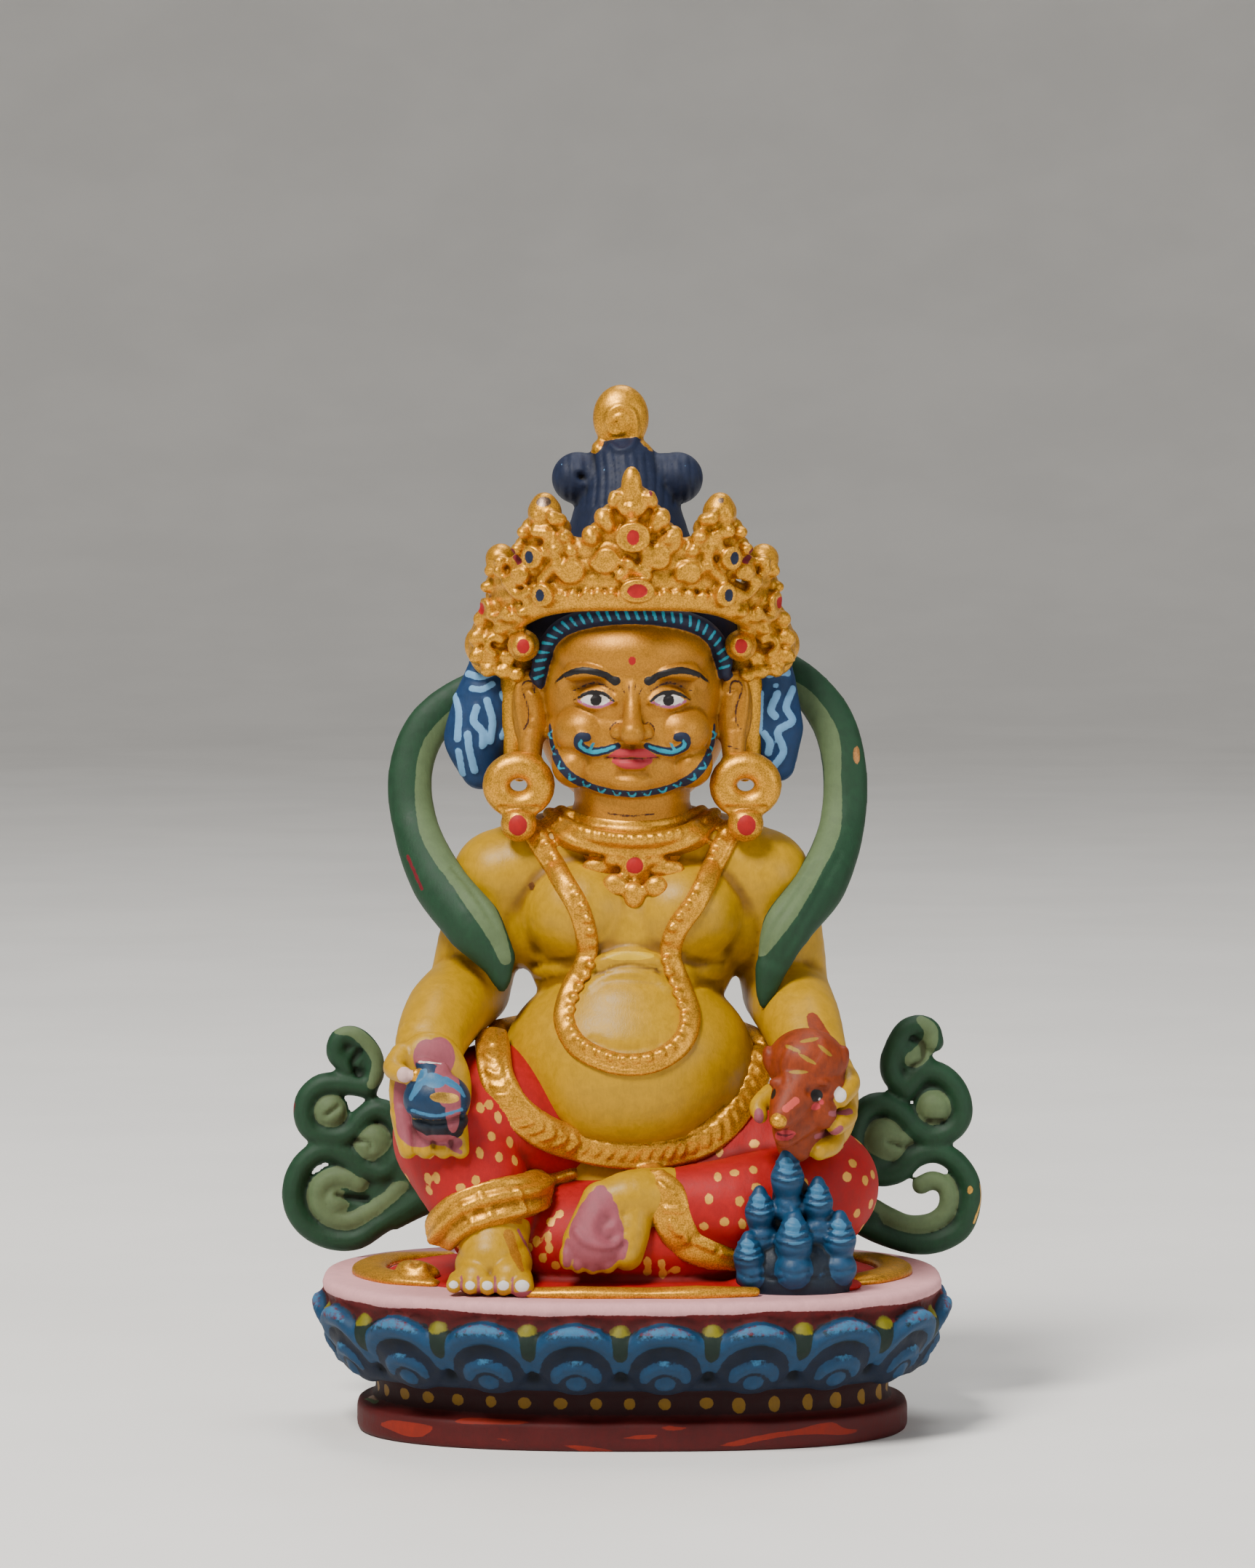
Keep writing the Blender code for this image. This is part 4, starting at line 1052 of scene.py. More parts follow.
def add_planted_foot(clay):
    clay.strand([(-10.9, -8.6, 5.8), (-10.9, -10.4, 4.2), (-11.1, -12.0, 2.7)], [3.0, 2.7, 2.2], (1.05, 0.9, 1))
    clay.strand([(-11.9, -11.0, 2.0), (-12.3, -13.2, 1.3)], [2.0, 1.45])
    clay.strand([(-9.9, -11.0, 2.2), (-9.6, -13.4, 1.5)], [2.1, 1.5])
    toes = ((-13.9, 0.62), (-12.6, 0.68), (-11.25, 0.72), (-10.0, 0.76), (-8.55, 0.95))
    for x, size in toes:
        reach = -14.1 - 0.3 * (size - 0.6) / 0.3 - 0.25 * math.cos((x + 11) * 0.5)
        clay.strand([(x * 0.97 - 0.3, -12.8, 1.25), (x, reach, 0.85)], [size * 0.9, size])
        clay.dab("white", (x - 0.02, 1.0), (0.62 * size, 0.5 * size))
    clay.stroke("mauve", [(-14.2, 0.1), (-11, 0.05), (-8.0, 0.3)], 0.34)
    for left, right in zip(toes, toes[1:]):
        x = (left[0] + right[0]) / 2
        clay.stroke("mauve", [(x, 0.2), (x - 0.05, 1.6)], [0.16, 0.1])
    clay.stroke("face_gold", [(-9.6, 4.6), (-9.1, 3.2), (-8.6, 2.2)], [0.5, 0.5, 0.3])
    clay.stroke("mauve", [(-8.9, 4.9), (-8.1, 3.2), (-7.6, 1.9)], 0.16)
    clay.stroke("face_gold", [(-13.6, 5.0), (-11.0, 5.9), (-8.8, 5.6)], [0.3, 0.5, 0.3])


def add_upturned_foot(clay):
    clay.strand([(2.8, -9.2, 6.9), (0.2, -10.4, 7.3), (-1.6, -10.8, 7.0)], [2.6, 2.2, 1.9])
    sole = [(-2.3, -11.3, 7.2), (-2.6, -11.9, 5.4), (-2.9, -12.2, 3.9)]
    clay.strand(sole, [1.55, 2.0, 2.35], (1.1, 0.7, 1))
    clay.strand([(0.2, -11.0, 6.8), (-0.1, -11.6, 4.8), (-0.4, -12.0, 3.2)], [1.7, 1.7, 1.5], (0.9, 0.85, 1))
    for x, z, size in ((-5.1, 2.9, 0.62), (-4.2, 2.6, 0.66), (-3.1, 2.5, 0.72), (-1.9, 2.6, 0.8), (-0.5, 3.0, 1.05)):
        clay.ball((x, -12.6, z), (size, 0.8, 1.05))
    clay.relief([(-1.9, 6.0), (-2.3, 5.2), (-1.7, 4.6)], 0.9, -0.4)
    clay.relief([(-4.4, 5.0), (-3.6, 4.2), (-2.0, 3.9), (-0.8, 4.4)], 0.5, 0.18)
    mauve = [(-2.5, 8.0, 0.55), (-2.6, 7.2, 1.15), (-2.7, 6.2, 1.75), (-2.8, 5.0, 2.2), (-2.8, 4.0, 2.3)]
    for x, z, width in mauve:
        clay.dab("mauve", (x, z), (width, width))
    for x, low in ((-5.1, 2.4), (-4.3, 2.2), (-3.0, 2.1), (-1.9, 2.5), (-0.8, 3.1)):
        clay.stroke("mauve", [(x, low), (x + 0.1, 4.0)], [0.34, 0.42])


class STATUETTE_OT_feet(bpy.types.Operator):
    """Make the planted foot and the upturned sole"""
    bl_idname = "statuette.feet"
    bl_label = "Feet"

    def execute(self, context):
        clay = Clay("yellow")
        add_planted_foot(clay)
        add_upturned_foot(clay)
        clay.melt("feet", 0.18)
        return {'FINISHED'}


# Hands, mongoose and jewels


def add_giving_hand(clay):
    clay.strand([(-15.9, -8.8, 19.2), (-16.0, -10.2, 17.4)], [2.6, 2.6], (1.05, 0.9, 1))
    clay.ball((-15.8, -11.2, 15.8), (3.25, 1.5, 4.6))
    for index, x in enumerate((-17.6, -16.2, -14.8, -13.5)):
        clay.strand([(x - 0.4, -11.6, 14.2), (x - 0.1, -12.2, 12.4), (x + 0.1, -12.7, 11.3)], [0.95, 0.85, 0.72])
    clay.strand([(-18.0, -11.2, 18.6), (-18.6, -12.4, 17.7), (-17.8, -13.7, 17.3)], [0.95, 0.85, 0.7])


def add_fruit(clay):
    clay.use("fruit_blue")
    clay.ball((-15.2, -13.6, 15.4), (2.65, 2.0, 2.1))
    clay.strand([(-15.4, -13.3, 16.6), (-16.0, -13.1, 17.7), (-16.6, -13.0, 18.2)], [1.5, 0.8, 0.35])
    clay.strand([(-15.2, -13.3, 16.8), (-14.8, -13.2, 17.8)], [1.3, 0.5])
    clay.use("jewel_dark")
    clay.ball((-15.0, -13.2, 13.7), (2.25, 1.9, 1.3))
    clay.ball((-15.0, -12.9, 12.9), (1.8, 1.6, 0.9))
    clay.use("gold")
    clay.ball((-16.75, -14.1, 17.35), (0.52, 0.5, 0.5))


def paint_giving_hand(clay):
    clay.relief([(-17.3, 14.6), (-15.2, 14.2), (-13.0, 14.7)], 0.35, 0.22)
    clay.relief([(-17.2, 14.1), (-15.2, 13.6), (-13.2, 14.1)], 0.3, -0.22)
    for index, x in enumerate((-17.2, -15.7, -14.3)):
        clay.relief([(x, 13.4), (x + 0.2, 11.4)], 0.25, -0.1)
    for x, z, wide, tall in ((-16.0, 18.6, 1.1, 1.4), (-15.0, 18.6, 1.2, 1.6), (-14.4, 17.0, 1.0, 2.2),
                             (-13.9, 15.2, 0.6, 2.6), (-18.1, 15.4, 0.55, 1.9), (-17.7, 13.6, 0.75, 1.6),
                             (-16.6, 12.3, 1.3, 0.75), (-15.0, 12.2, 1.4, 0.55), (-13.9, 11.9, 0.7, 0.5)):
        clay.dab("mauve", (x, z), (wide, tall))
    clay.stroke("mauve", [(-14.0, 11.5), (-13.4, 11.2)], 0.2)
    clay.dab("jewel_light", (-15.4, 17.0), (0.95, 0.6), turn=15)
    clay.stroke("jewel_light", [(-17.2, 15.6), (-16.6, 16.6), (-16.2, 17.6)], [0.2, 0.4, 0.3])
    clay.stroke("jewel_light", [(-14.4, 17.0), (-13.5, 16.4), (-13.0, 15.7)], [0.4, 0.3, 0.12])
    # Painted highlight: a thin white line along the fruit's top edge.
    clay.stroke("white", [(-16.6, 18.3), (-15.7, 18.25), (-14.9, 18.15)], [0.08, 0.12, 0.06])
    clay.stroke("jewel_light", [(-17.1, 14.65), (-15.2, 14.3), (-13.2, 14.75)], 0.13)
    clay.dab("brass", (-14.5, 15.7), (1.2, 0.42), turn=6)
    clay.dab("pale_pink", (-17.65, 17.4), (0.66, 0.72))


class STATUETTE_OT_giving_hand(bpy.types.Operator):
    """Make the open hand on the knee and the blue fruit in it"""
    bl_idname = "statuette.giving_hand"
    bl_label = "Hand with Fruit"

    def execute(self, context):
        clay = Clay("yellow")
        add_giving_hand(clay)
        add_fruit(clay)
        paint_giving_hand(clay)
        clay.melt("giving_hand", 0.17)
        return {'FINISHED'}


def add_mongoose_head(clay):
    clay.ball((13.6, -11.6, 18.0), (3.1, 2.9, 2.75))
    clay.ball((13.9, -12.0, 16.4), (2.7, 2.4, 2.2))
    clay.strand([(13.1, -12.8, 16.4), (12.2, -14.2, 15.1), (11.5, -15.3, 14.1)], [2.1, 1.55, 0.95])
    clay.strand([(13.1, -12.6, 14.2), (12.2, -13.9, 13.2), (11.8, -14.6, 12.4)], [1.9, 1.35, 0.75])
    clay.strand([(13.2, -11.4, 14.4), (12.9, -11.8, 12.2), (12.6, -12.2, 11.4)], [2.3, 1.8, 1.2])
    clay.ball((14.6, -13.0, 14.4), (1.3, 1.3, 1.5))
    for side in (-1, 1):
        clay.ball((13.55 + side * 2.75, -11.9, 18.2), (0.62, 0.85, 1.25), (0, side * 14, 0))
        clay.ball((13.0 + side * 1.55, -13.9, 16.7), (0.85, 0.6, 0.5))
    clay.use("gold").ball((11.3, -16.0, 13.95), (0.66, 0.6, 0.6))


def add_fingers(clay):
    clay.use("yellow")
    clay.ball((15.6, -8.8, 15.0), (2.2, 2.4, 4.2))
    clay.strand([(16.4, -9.0, 17.0), (16.9, -11.2, 16.3), (16.2, -12.9, 15.4)], [1.1, 0.95, 0.78])
    clay.strand([(16.2, -9.0, 14.8), (16.7, -11.2, 13.9), (15.9, -12.7, 13.2)], [1.1, 0.95, 0.78])
    clay.strand([(15.6, -9.0, 12.8), (15.6, -11.2, 11.7), (14.6, -12.6, 11.2)], [1.1, 0.95, 0.75])
    clay.strand([(10.9, -10.4, 15.4), (9.9, -11.4, 14.6), (10.0, -12.2, 13.9)], [0.9, 0.75, 0.6])


def paint_mongoose(clay):
    clay.relief([(11.9, 13.1), (11.9, 12.6), (12.7, 12.6)], 0.35, -0.25)
    clay.relief([(13.8, 16.2), (14.9, 16.1)], 0.6, -0.28)
    clay.relief([(12.0, 17.0), (11.8, 18.2), (12.2, 19.4)], 0.5, 0.12)
    clay.relief([(14.4, 18.0), (15.0, 19.0), (14.8, 20.0)], 0.5, 0.12)
    for x, z, turn in ((12.4, 19.4, 20), (13.8, 20.0, -10), (15.0, 19.2, 40), (12.9, 17.6, 0), (13.6, 18.6, 30)):
        clay.dab("dot", (x, z), (0.8, 0.14), turn=turn)
    clay.stroke("pale_red", [(12.7, 15.5), (11.9, 14.9)], 0.3)
    clay.dab("lip", (11.85, 12.75), (0.85, 0.42), turn=-8)
    clay.stroke("maroon", [(11.3, 12.85), (11.9, 12.7), (12.5, 12.85)], 0.1)
    clay.dab("lip", (14.2, 14.9), (0.42, 0.3))
    clay.dab("ink", (14.3, 15.75), (0.62, 0.5), turn=-10)
    clay.dab("white", (14.55, 15.45), (0.1, 0.14))
    clay.dab("lip", (14.7, 15.2), (0.2, 0.22))
    clay.dab("ink", (10.95, 15.9), (0.24, 0.5))
    clay.dab("white", (16.2, 15.75), (0.5, 0.62))
    clay.stroke("mauve", [(15.4, 14.3), (16.2, 14.2), (17.0, 14.3)], [0.2, 0.3, 0.3])
    clay.stroke("mauve", [(14.3, 12.4), (15.4, 12.5), (16.2, 13.0)], [0.2, 0.3, 0.3])
    clay.dab("mauve", (9.85, 13.9), (0.4, 0.75))


class STATUETTE_OT_mongoose(bpy.types.Operator):
    """Make the mongoose's head and the hand that squeezes it"""
    bl_idname = "statuette.mongoose"
    bl_label = "Mongoose"

    def execute(self, context):
        clay = Clay("orange")
        add_mongoose_head(clay)
        add_fingers(clay)
        paint_mongoose(clay)
        clay.melt("mongoose", 0.155)
        return {'FINISHED'}


def add_jewel(clay, x, y, z, girth):
    """An onion-shaped jewel with ridges up its neck."""
    clay.use("jewel_blue")
    clay.strand([(x, y + 0.5, z - 0.5 * girth), (x, y, z)], [0.9 * girth, girth])
    clay.strand([(x, y - 0.05, z + 0.35 * girth), (x, y - 0.1, z + 1.35 * girth)], [0.86 * girth, 0.42 * girth])
    for share in (0.05, 0.45, 0.85):
        half = girth * (0.86 - 0.32 * share)
        clay.relief([(x - half, z + girth * (share + 0.12)), (x, z + girth * (share - 0.02)),
                     (x + half, z + girth * (share + 0.12))], 0.24, 0.16)
        clay.relief([(x - half, z + girth * (share - 0.14)), (x, z + girth * (share - 0.26)),
                     (x + half, z + girth * (share - 0.14))], 0.2, -0.12)
    clay.dab("jewel_light", (x - 0.1 * girth, z + 0.9 * girth), (0.46 * girth, 0.5 * girth))
    for share in (0.42, 0.0):
        half = girth * (0.62 - 0.2 * share)
        clay.stroke("jewel_light", [(x - half, z + girth * (share + 0.14)), (x, z + girth * share),
                                    (x + half, z + girth * (share + 0.14))], [0.06, 0.17, 0.06])


class STATUETTE_OT_jewels(bpy.types.Operator):
    """Make the heap of blue jewels under the mongoose"""
    bl_idname = "statuette.jewels"
    bl_label = "Jewels"

    def execute(self, context):
        clay = Clay("jewel_dark")
        clay.ball((12.7, -10.8, 1.0), (4.6, 2.9, 3.9))
        clay.ball((12.4, -10.8, 6.4), (1.9, 1.5, 2.8))
        for x, y, z, girth in ((12.6, -13.0, 1.9, 1.55), (16.2, -11.9, 1.9, 1.4), (9.3, -12.6, 1.5, 1.2),
                               (11.0, -12.4, 1.4, 1.0), (14.5, -12.4, 1.4, 1.0), (14.6, -11.9, 5.0, 1.2),
                               (10.2, -11.9, 4.4, 1.2), (12.2, -12.2, 6.8, 1.2)):
            clay.ball((x, y, z), girth, paint="jewel_blue")
            clay.relief([(x - 0.8 * girth, z + 0.1), (x, z - 0.15), (x + 0.8 * girth, z + 0.1)], 0.24, -0.14)
        for x, y, z, girth in ((12.1, -12.8, 9.1, 1.35), (14.5, -12.3, 7.1, 1.22), (9.95, -12.3, 6.4, 1.2),
                               (12.6, -13.2, 4.2, 1.5), (16.2, -12.2, 4.2, 1.35), (9.05, -12.8, 2.9, 1.2)):
            add_jewel(clay, x, y, z, girth)
        clay.melt("jewels", 0.17)
        return {'FINISHED'}


# Scarf


def paint_sashes(clay):
    """The pale inner stripe, folds along the cloth and worn spots."""
    left = [(-11.4, 45.6), (-13.9, 44.4), (-15.9, 42.0), (-16.6, 39.2), (-16.0, 35.6), (-14.5, 32.9), (-12.2, 30.2),
            (-10.7, 27.6), (-10.0, 25.6)]
    right = [(11.6, 47.5), (14.0, 45.6), (15.6, 42.8), (16.0, 39.6), (15.6, 35.6), (14.2, 32.6), (12.0, 29.4),
             (10.2, 26.6)]
    clay.stroke("pale_green", left, [0.5, 0.8, 0.95, 0.8, 1.1, 1.0, 1.15, 0.8, 0.5])
    clay.stroke("pale_green", right, [0.5, 0.8, 1.0, 0.75, 1.1, 1.0, 1.15, 0.85])
    clay.relief([(-14.2, 32.6), (-12.4, 30.6), (-10.8, 28.2)], 0.35, -0.14)
    clay.relief([(-13.6, 30.6), (-12.0, 28.4), (-10.9, 26.4)], 0.4, -0.12)
    clay.relief([(14.8, 33.2), (13.2, 30.8), (11.2, 28.0), (10.4, 26.0)], 0.35, -0.14)
    clay.relief([(16.6, 33.6), (14.2, 29.6), (12.2, 26.2)], 0.4, -0.10)
    clay.dab("copper", (18.0, 41.3), (0.28, 0.75))
    clay.stroke("maroon", [(-17.9, 33.4), (-16.7, 30.9)], 0.16)
    clay.dab("maroon", (-12.9, 47.6), (0.6, 0.3))
    for heading in (120, 180, 240):
        clay.stroke("maroon", [(-17.5, 40), (-16, 33)] if heading != 240 else [(17.5, 40), (16, 33)], 0.3, heading)


class STATUETTE_OT_sashes(bpy.types.Operator):
    """Make the scarf's two loops beside the head, down to the chest"""
    bl_idname = "statuette.sashes"
    bl_label = "Scarf Loops"

    def execute(self, context):
        clay = Clay("green")
        left = [(-6.5, 5.4, 47.5), (-12.2, 4.4, 46.6), (-16.2, 3.8, 43.8), (-17.8, 3.2, 39.8), (-17.3, 2.0, 35.4),
                (-15.4, -1.2, 31.4), (-12.6, -4.0, 28.2), (-10.7, -4.6, 25.6)]
        right = [(6.5, 5.4, 49), (11.9, 4.6, 48.2), (15.6, 3.9, 44.8), (17.0, 3.2, 40.6), (16.8, 2.0, 35.6),
                 (15.0, -1.2, 31.2), (12.3, -4.0, 28.0), (11.0, -4.4, 24.6)]
        clay.strand(left, [1.2, 1.5, 1.75, 1.8, 1.85, 2.2, 2.3, 1.5], (1, 0.55, 1))
        clay.strand(right, [1.2, 1.5, 1.75, 1.8, 1.85, 2.1, 2.0, 1.2], (1, 0.55, 1))
        clay.strand([(-10.7, -4.6, 25.6), (-10.4, -4.7, 24.2), (-10.3, -4.6, 23.2)], [1.4, 0.9, 0.4], (1, 0.6, 1))
        clay.strand([(11.0, -4.4, 24.8), (10.6, -4.3, 23.0), (10.4, -4.2, 21.8)], [1.3, 0.85, 0.35], (1, 0.6, 1))
        paint_sashes(clay)
        clay.melt("sashes", 0.23)
        return {'FINISHED'}


def scroll_place(side, setback):
    spread = (sizes().rim_width / 2 + 3.7 * MM) / square()

    def place(inward, z, forward=0.0):
        return side * (spread - inward), setback - forward, z
    return place


def add_bands(clay, place, paint, paths, girth, shape=(1, 1.0, 1), forward=0.0):
    clay.use(paint)
    for path in paths:
        clay.strand([place(inward, z, forward) for inward, z in path], girth, shape)


def add_left_scroll(clay, place):
    hook = [(5.4, 15.6), (4.4, 16.6), (4.6, 17.8), (5.6, 18.15), (6.6, 17.6), (7.4, 16.4), (7.5, 15.0), (6.9, 13.9)]
    curls = [(6.9, 13.9), (5.1, 14.2), (3.2, 14.1), (2.0, 13.0), (1.8, 11.5), (2.5, 10.3), (4.2, 9.85), (5.6, 10.3),
             (6.5, 11.4), (7.7, 12.1), (9.1, 11.5), (9.8, 10.0), (9.6, 8.3), (8.2, 7.0), (6.5, 7.3)]
    loop = [(6.5, 7.3), (5.1, 8.4), (3.5, 8.8), (1.9, 7.9), (0.95, 6.2), (0.95, 4.2), (2.0, 2.5), (3.9, 1.5), (6.0,
                                                                                                               1.5),
            (7.9, 2.7), (9.7, 3.8), (11.7, 5.1)]
    add_bands(clay, place, "green", (curls, loop), 0.93)
    add_bands(clay, place, "green", (hook,), 0.82)
    for inward, z, radius in ((5.9, 16.4, 1.3), (3.9, 12.0, 1.6), (7.3, 9.3, 1.8), (4.8, 4.6, 3.2), (8.6, 5.4, 2.0)):
        clay.ball(place(inward, z), (radius, 0.5, radius))
    comma = [(6.2, 6.1), (5.2, 6.5), (4.0, 6.5), (3.0, 5.7), (2.95, 4.4), (3.9, 3.3), (5.4, 3.0), (6.9, 3.6), (8.4,
                                                                                                               4.6),
             (9.8, 6.0), (11.0, 7.0)]
    add_bands(clay, place, "pale_green", (comma,), 0.78, (1, 0.9, 1), 0.1)
    clay.ball(place(4.4, 4.6, 0.1), (1.2, 0.75, 1.2))
    clay.ball(place(3.9, 12.0, 0.35), (1.28, 0.8, 1.28))
    clay.ball(place(7.35, 9.4, 0.3), (1.5, 0.8, 1.5))
    clay.use("green")


def add_right_scroll(clay, place):
    hook = [(4.7, 16.0), (5.3, 15.7), (6.4, 16.6), (6.9, 17.4), (6.2, 18.6), (5.1, 19.0), (4.2, 18.6), (3.9, 17.6)]
    neck = [(6.9, 17.4), (7.4, 16.0), (7.2, 14.8), (6.2, 13.8)]
    curls = [(6.2, 13.8), (4.8, 15.2), (3.2, 14.9), (2.0, 13.6), (1.6, 11.8), (2.4, 10.4), (4.0, 9.9), (5.4, 10.5),
             (6.5, 11.8), (8.0, 12.6), (9.4, 12.2), (10.2, 10.8), (10.3, 9.2), (9.6, 7.7)]
    loop = [(9.6, 7.7), (8.4, 6.7), (6.7, 7.0), (5.4, 8.2), (3.7, 8.6), (2.1, 7.8), (1.0, 6.1), (0.95, 4.1), (1.7,
                                                                                                              2.3),
            (3.4, 1.3), (5.3, 1.1), (7.3, 1.6), (9.4, 2.5), (11.7, 4.0)]
    add_bands(clay, place, "green", (neck, curls, loop), 0.93)
    add_bands(clay, place, "green", (hook,), 0.85)
    for inward, z, radius in ((5.2, 17.2, 1.3), (3.9, 12.4, 1.7), (7.9, 9.5, 2.1)):
        clay.ball(place(inward, z), (radius, 0.5, radius))
    add_bands(clay, place, "pale_green",
               ([(4.9, 5.9), (3.9, 6.3), (2.8, 5.6), (2.8, 4.0), (3.9, 2.95), (5.8, 2.7), (7.4, 3.3), (9.0, 4.2)],),
               0.78, (1, 0.9, 1), 0.1)
    clay.ball(place(3.9, 12.3, 0.35), (1.32, 0.8, 1.32))
    clay.ball(place(7.9, 9.55, 0.3), (1.75, 0.8, 1.75))
    clay.strand([place(6.6, 9.8, 0.35), place(5.9, 9.7, 0.2)], [0.6, 0.4])
    clay.use("green")


def mark_scrolls(clay, setback):
    """Grooves of the curls, pits, pale brush marks and chips."""
    left = scroll_place(-1, setback)
    right = scroll_place(1, setback)

    def seen(place, path):
        return [place(inward, z)[::2] for inward, z in path]

    clay.relief(seen(left, [(6.2, 15.0), (5.8, 16.0), (6.3, 16.9)]), 0.4, -0.35)
    clay.relief(seen(left, [(4.4, 12.2), (3.6, 11.7), (4.6, 12.4)]), 0.35, -0.3)
    clay.relief(seen(left, [(6.0, 9.6), (7.0, 9.5), (7.2, 9.0)]), 0.32, -0.35)
    clay.relief(seen(left, [(6.8, 4.8), (5.4, 4.9), (4.5, 5.2)]), 0.42, -0.5)
    clay.relief(seen(right, [(5.8, 15.6), (4.8, 16.4), (4.9, 17.4), (5.6, 17.9)]), 0.36, -0.4)
    clay.relief(seen(right, [(4.4, 11.2), (3.2, 11.2)]), 0.3, -0.3)
    clay.relief(seen(right, [(7.6, 9.5), (7.3, 9.4), (6.6, 9.1)]), 0.3, -0.35)
    clay.stroke("pale_green", seen(left, [(4.6, 18.6), (5.8, 18.6), (7.0, 17.6), (7.9, 16.2), (7.7, 14.8), (7.3,
                                                                                                            14.2)]),
                [0.4, 0.55, 0.6, 0.65, 0.65, 0.4])
    clay.stroke("pale_green", seen(right, [(4.9, 19.5), (4.2, 18.7), (4.3, 17.6), (5.0, 16.6), (5.6, 16.2)]),
                [0.45, 0.6, 0.65, 0.75, 0.7])
    clay.dab("brass", right(0.95, 5.6)[::2], (0.24, 0.34))
    clay.stroke("brass", seen(right, [(0.1, 6.0), (0.05, 4.6), (0.6, 2.9)]), 0.13)
    clay.stroke("maroon", seen(left, [(1.0, 12.6), (0.85, 11.4), (1.2, 10.2)]), 0.16)


class STATUETTE_OT_scrolls(bpy.types.Operator):
    """Make the scarf's two scrolled ends, which stand on the back edge of the lotus"""
    bl_idname = "statuette.scrolls"
    bl_label = "Scarf Scrolls"

    def execute(self, context):
        clay = Clay("green")
        setback = (sizes().rim_depth / 2 - 9.5 * MM) / square()
        add_left_scroll(clay, scroll_place(-1, setback))
        add_right_scroll(clay, scroll_place(1, setback))
        for side in (-1, 1):
            place = scroll_place(side, setback)
            tail = [place(8.6, 8.0), place(11.5, 6.6), place(14.5, 6.0), (side * 10, 4.5, 7.0)]
            clay.strand(tail, [1.5, 1.8, 2.0, 2.4], (1, 0.55, 1))
            clay.strand([place(9.0, 3.4, 0.2), place(11.5, 5.0), place(14.0, 6.0)], [1.2, 1.6, 1.8], (1, 0.55, 1))
        mark_scrolls(clay, setback)
        clay.melt("scrolls", 0.23)
        return {'FINISHED'}


# Head


BROW = 47.5
NOSE_BASE = 43.05
CHIN = 38.6
HAIRLINE = 51.95
EYE_WIDTH = 2.9
EYE_LINE = 46.1
MOUTH = NOSE_BASE - (NOSE_BASE - CHIN) / 3


def mirrored(places, side):
    return [(side * x, *rest) for x, *rest in places]


def add_skull(clay):
    """Skull, cheeks, jaw and nose in thirds from hairline to chin."""
    clay.ball((0, 0.4, 46.9), (7.2, 7.2, 7.6))
    clay.ball((0, 3.2, 45.5), (7.9, 5.0, 9.0))
    clay.ball((0, -0.6, 43.4), (6.75, 6.1, 5.2))
    clay.ball((0, -3.0, 40.6), (4.5, 3.5, 2.6))
    clay.ball((0, -4.7, 39.9), (2.2, 2.0, 1.55))
    clay.ball((0, -2.2, 49.6), (6.2, 4.9, 3.6))
    for side in (-1, 1):
        clay.ball((side * 3.7, -4.0, 43.6), (2.5, 2.5, 2.2))
        clay.ball((side * 2.8, -5.0, 48.3), (2.6, 1.75, 1.0))
        clay.ball((side * 4.6, -3.1, 40.9), (1.8, 2.6, 1.9))


def add_nose(clay):
    clay.strand([(0, -6.35, 47.2), (0, -6.9, 45.6), (0, -7.75, 44.2), (0, -8.15, 43.65)], [0.62, 0.62, 0.82, 1.0])
    clay.ball((0, -7.6, 43.3), (0.75, 0.9, 0.42))
    for side in (-1, 1):
        clay.ball((side * 1.05, -7.05, 43.6), (0.72, 0.85, 0.66))


def add_eyes(clay):
    """Eyeballs between raised lids, under the brow ridge."""
    half = EYE_WIDTH / 2
    for side in (-1, 1):
        centre = side * EYE_WIDTH
        clay.ball((centre, -5.15, EYE_LINE + 0.05), (1.42, 1.35, 0.95))
        upper = [(centre - half, EYE_LINE - 0.05), (centre - 0.75, EYE_LINE + 0.62), (centre, EYE_LINE + 0.78),
                 (centre + 0.75, EYE_LINE + 0.62), (centre + half, EYE_LINE - 0.05)]
        lower = [(centre - half, EYE_LINE - 0.1), (centre, EYE_LINE - 0.62), (centre + half, EYE_LINE - 0.1)]
        clay.relief(upper, 0.42, 0.22)
        clay.relief(lower, 0.36, 0.14)
        clay.relief([(centre - side * 1.3, EYE_LINE + 1.0), (centre, EYE_LINE + 1.5), (centre + side * 1.5,
                                                                                       EYE_LINE + 1.0)],
                    0.7, -0.22)
        clay.relief(mirrored([(1.55, 47.5), (2.9, 48.35), (4.4, 48.4), (5.7, 47.5)], side), 0.8, 0.2)


def add_mouth(clay):
    for side in (-1, 1):
        clay.strand(mirrored([(0.12, -6.65, MOUTH + 0.42), (0.9, -6.5, MOUTH + 0.42), (1.95, -6.0, MOUTH + 0.08)],
                             side),
                    [0.46, 0.44, 0.2])
    clay.strand([(-1.6, -6.05, MOUTH - 0.12), (-0.7, -6.5, MOUTH - 0.42), (0, -6.6, MOUTH - 0.46),
                 (0.7, -6.5, MOUTH - 0.42), (1.6, -6.05, MOUTH - 0.12)], [0.3, 0.46, 0.5, 0.46, 0.3])
    clay.relief([(-2.1, MOUTH), (-0.9, MOUTH - 0.06), (0, MOUTH - 0.02), (0.9, MOUTH - 0.06), (2.1, MOUTH)], 0.22,
                -0.2)
    clay.relief([(-1.2, MOUTH - 1.3), (0, MOUTH - 1.4), (1.2, MOUTH - 1.3)], 0.6, -0.18)
    clay.relief([(0, NOSE_BASE - 0.35), (0, MOUTH + 0.85)], 0.4, -0.14)


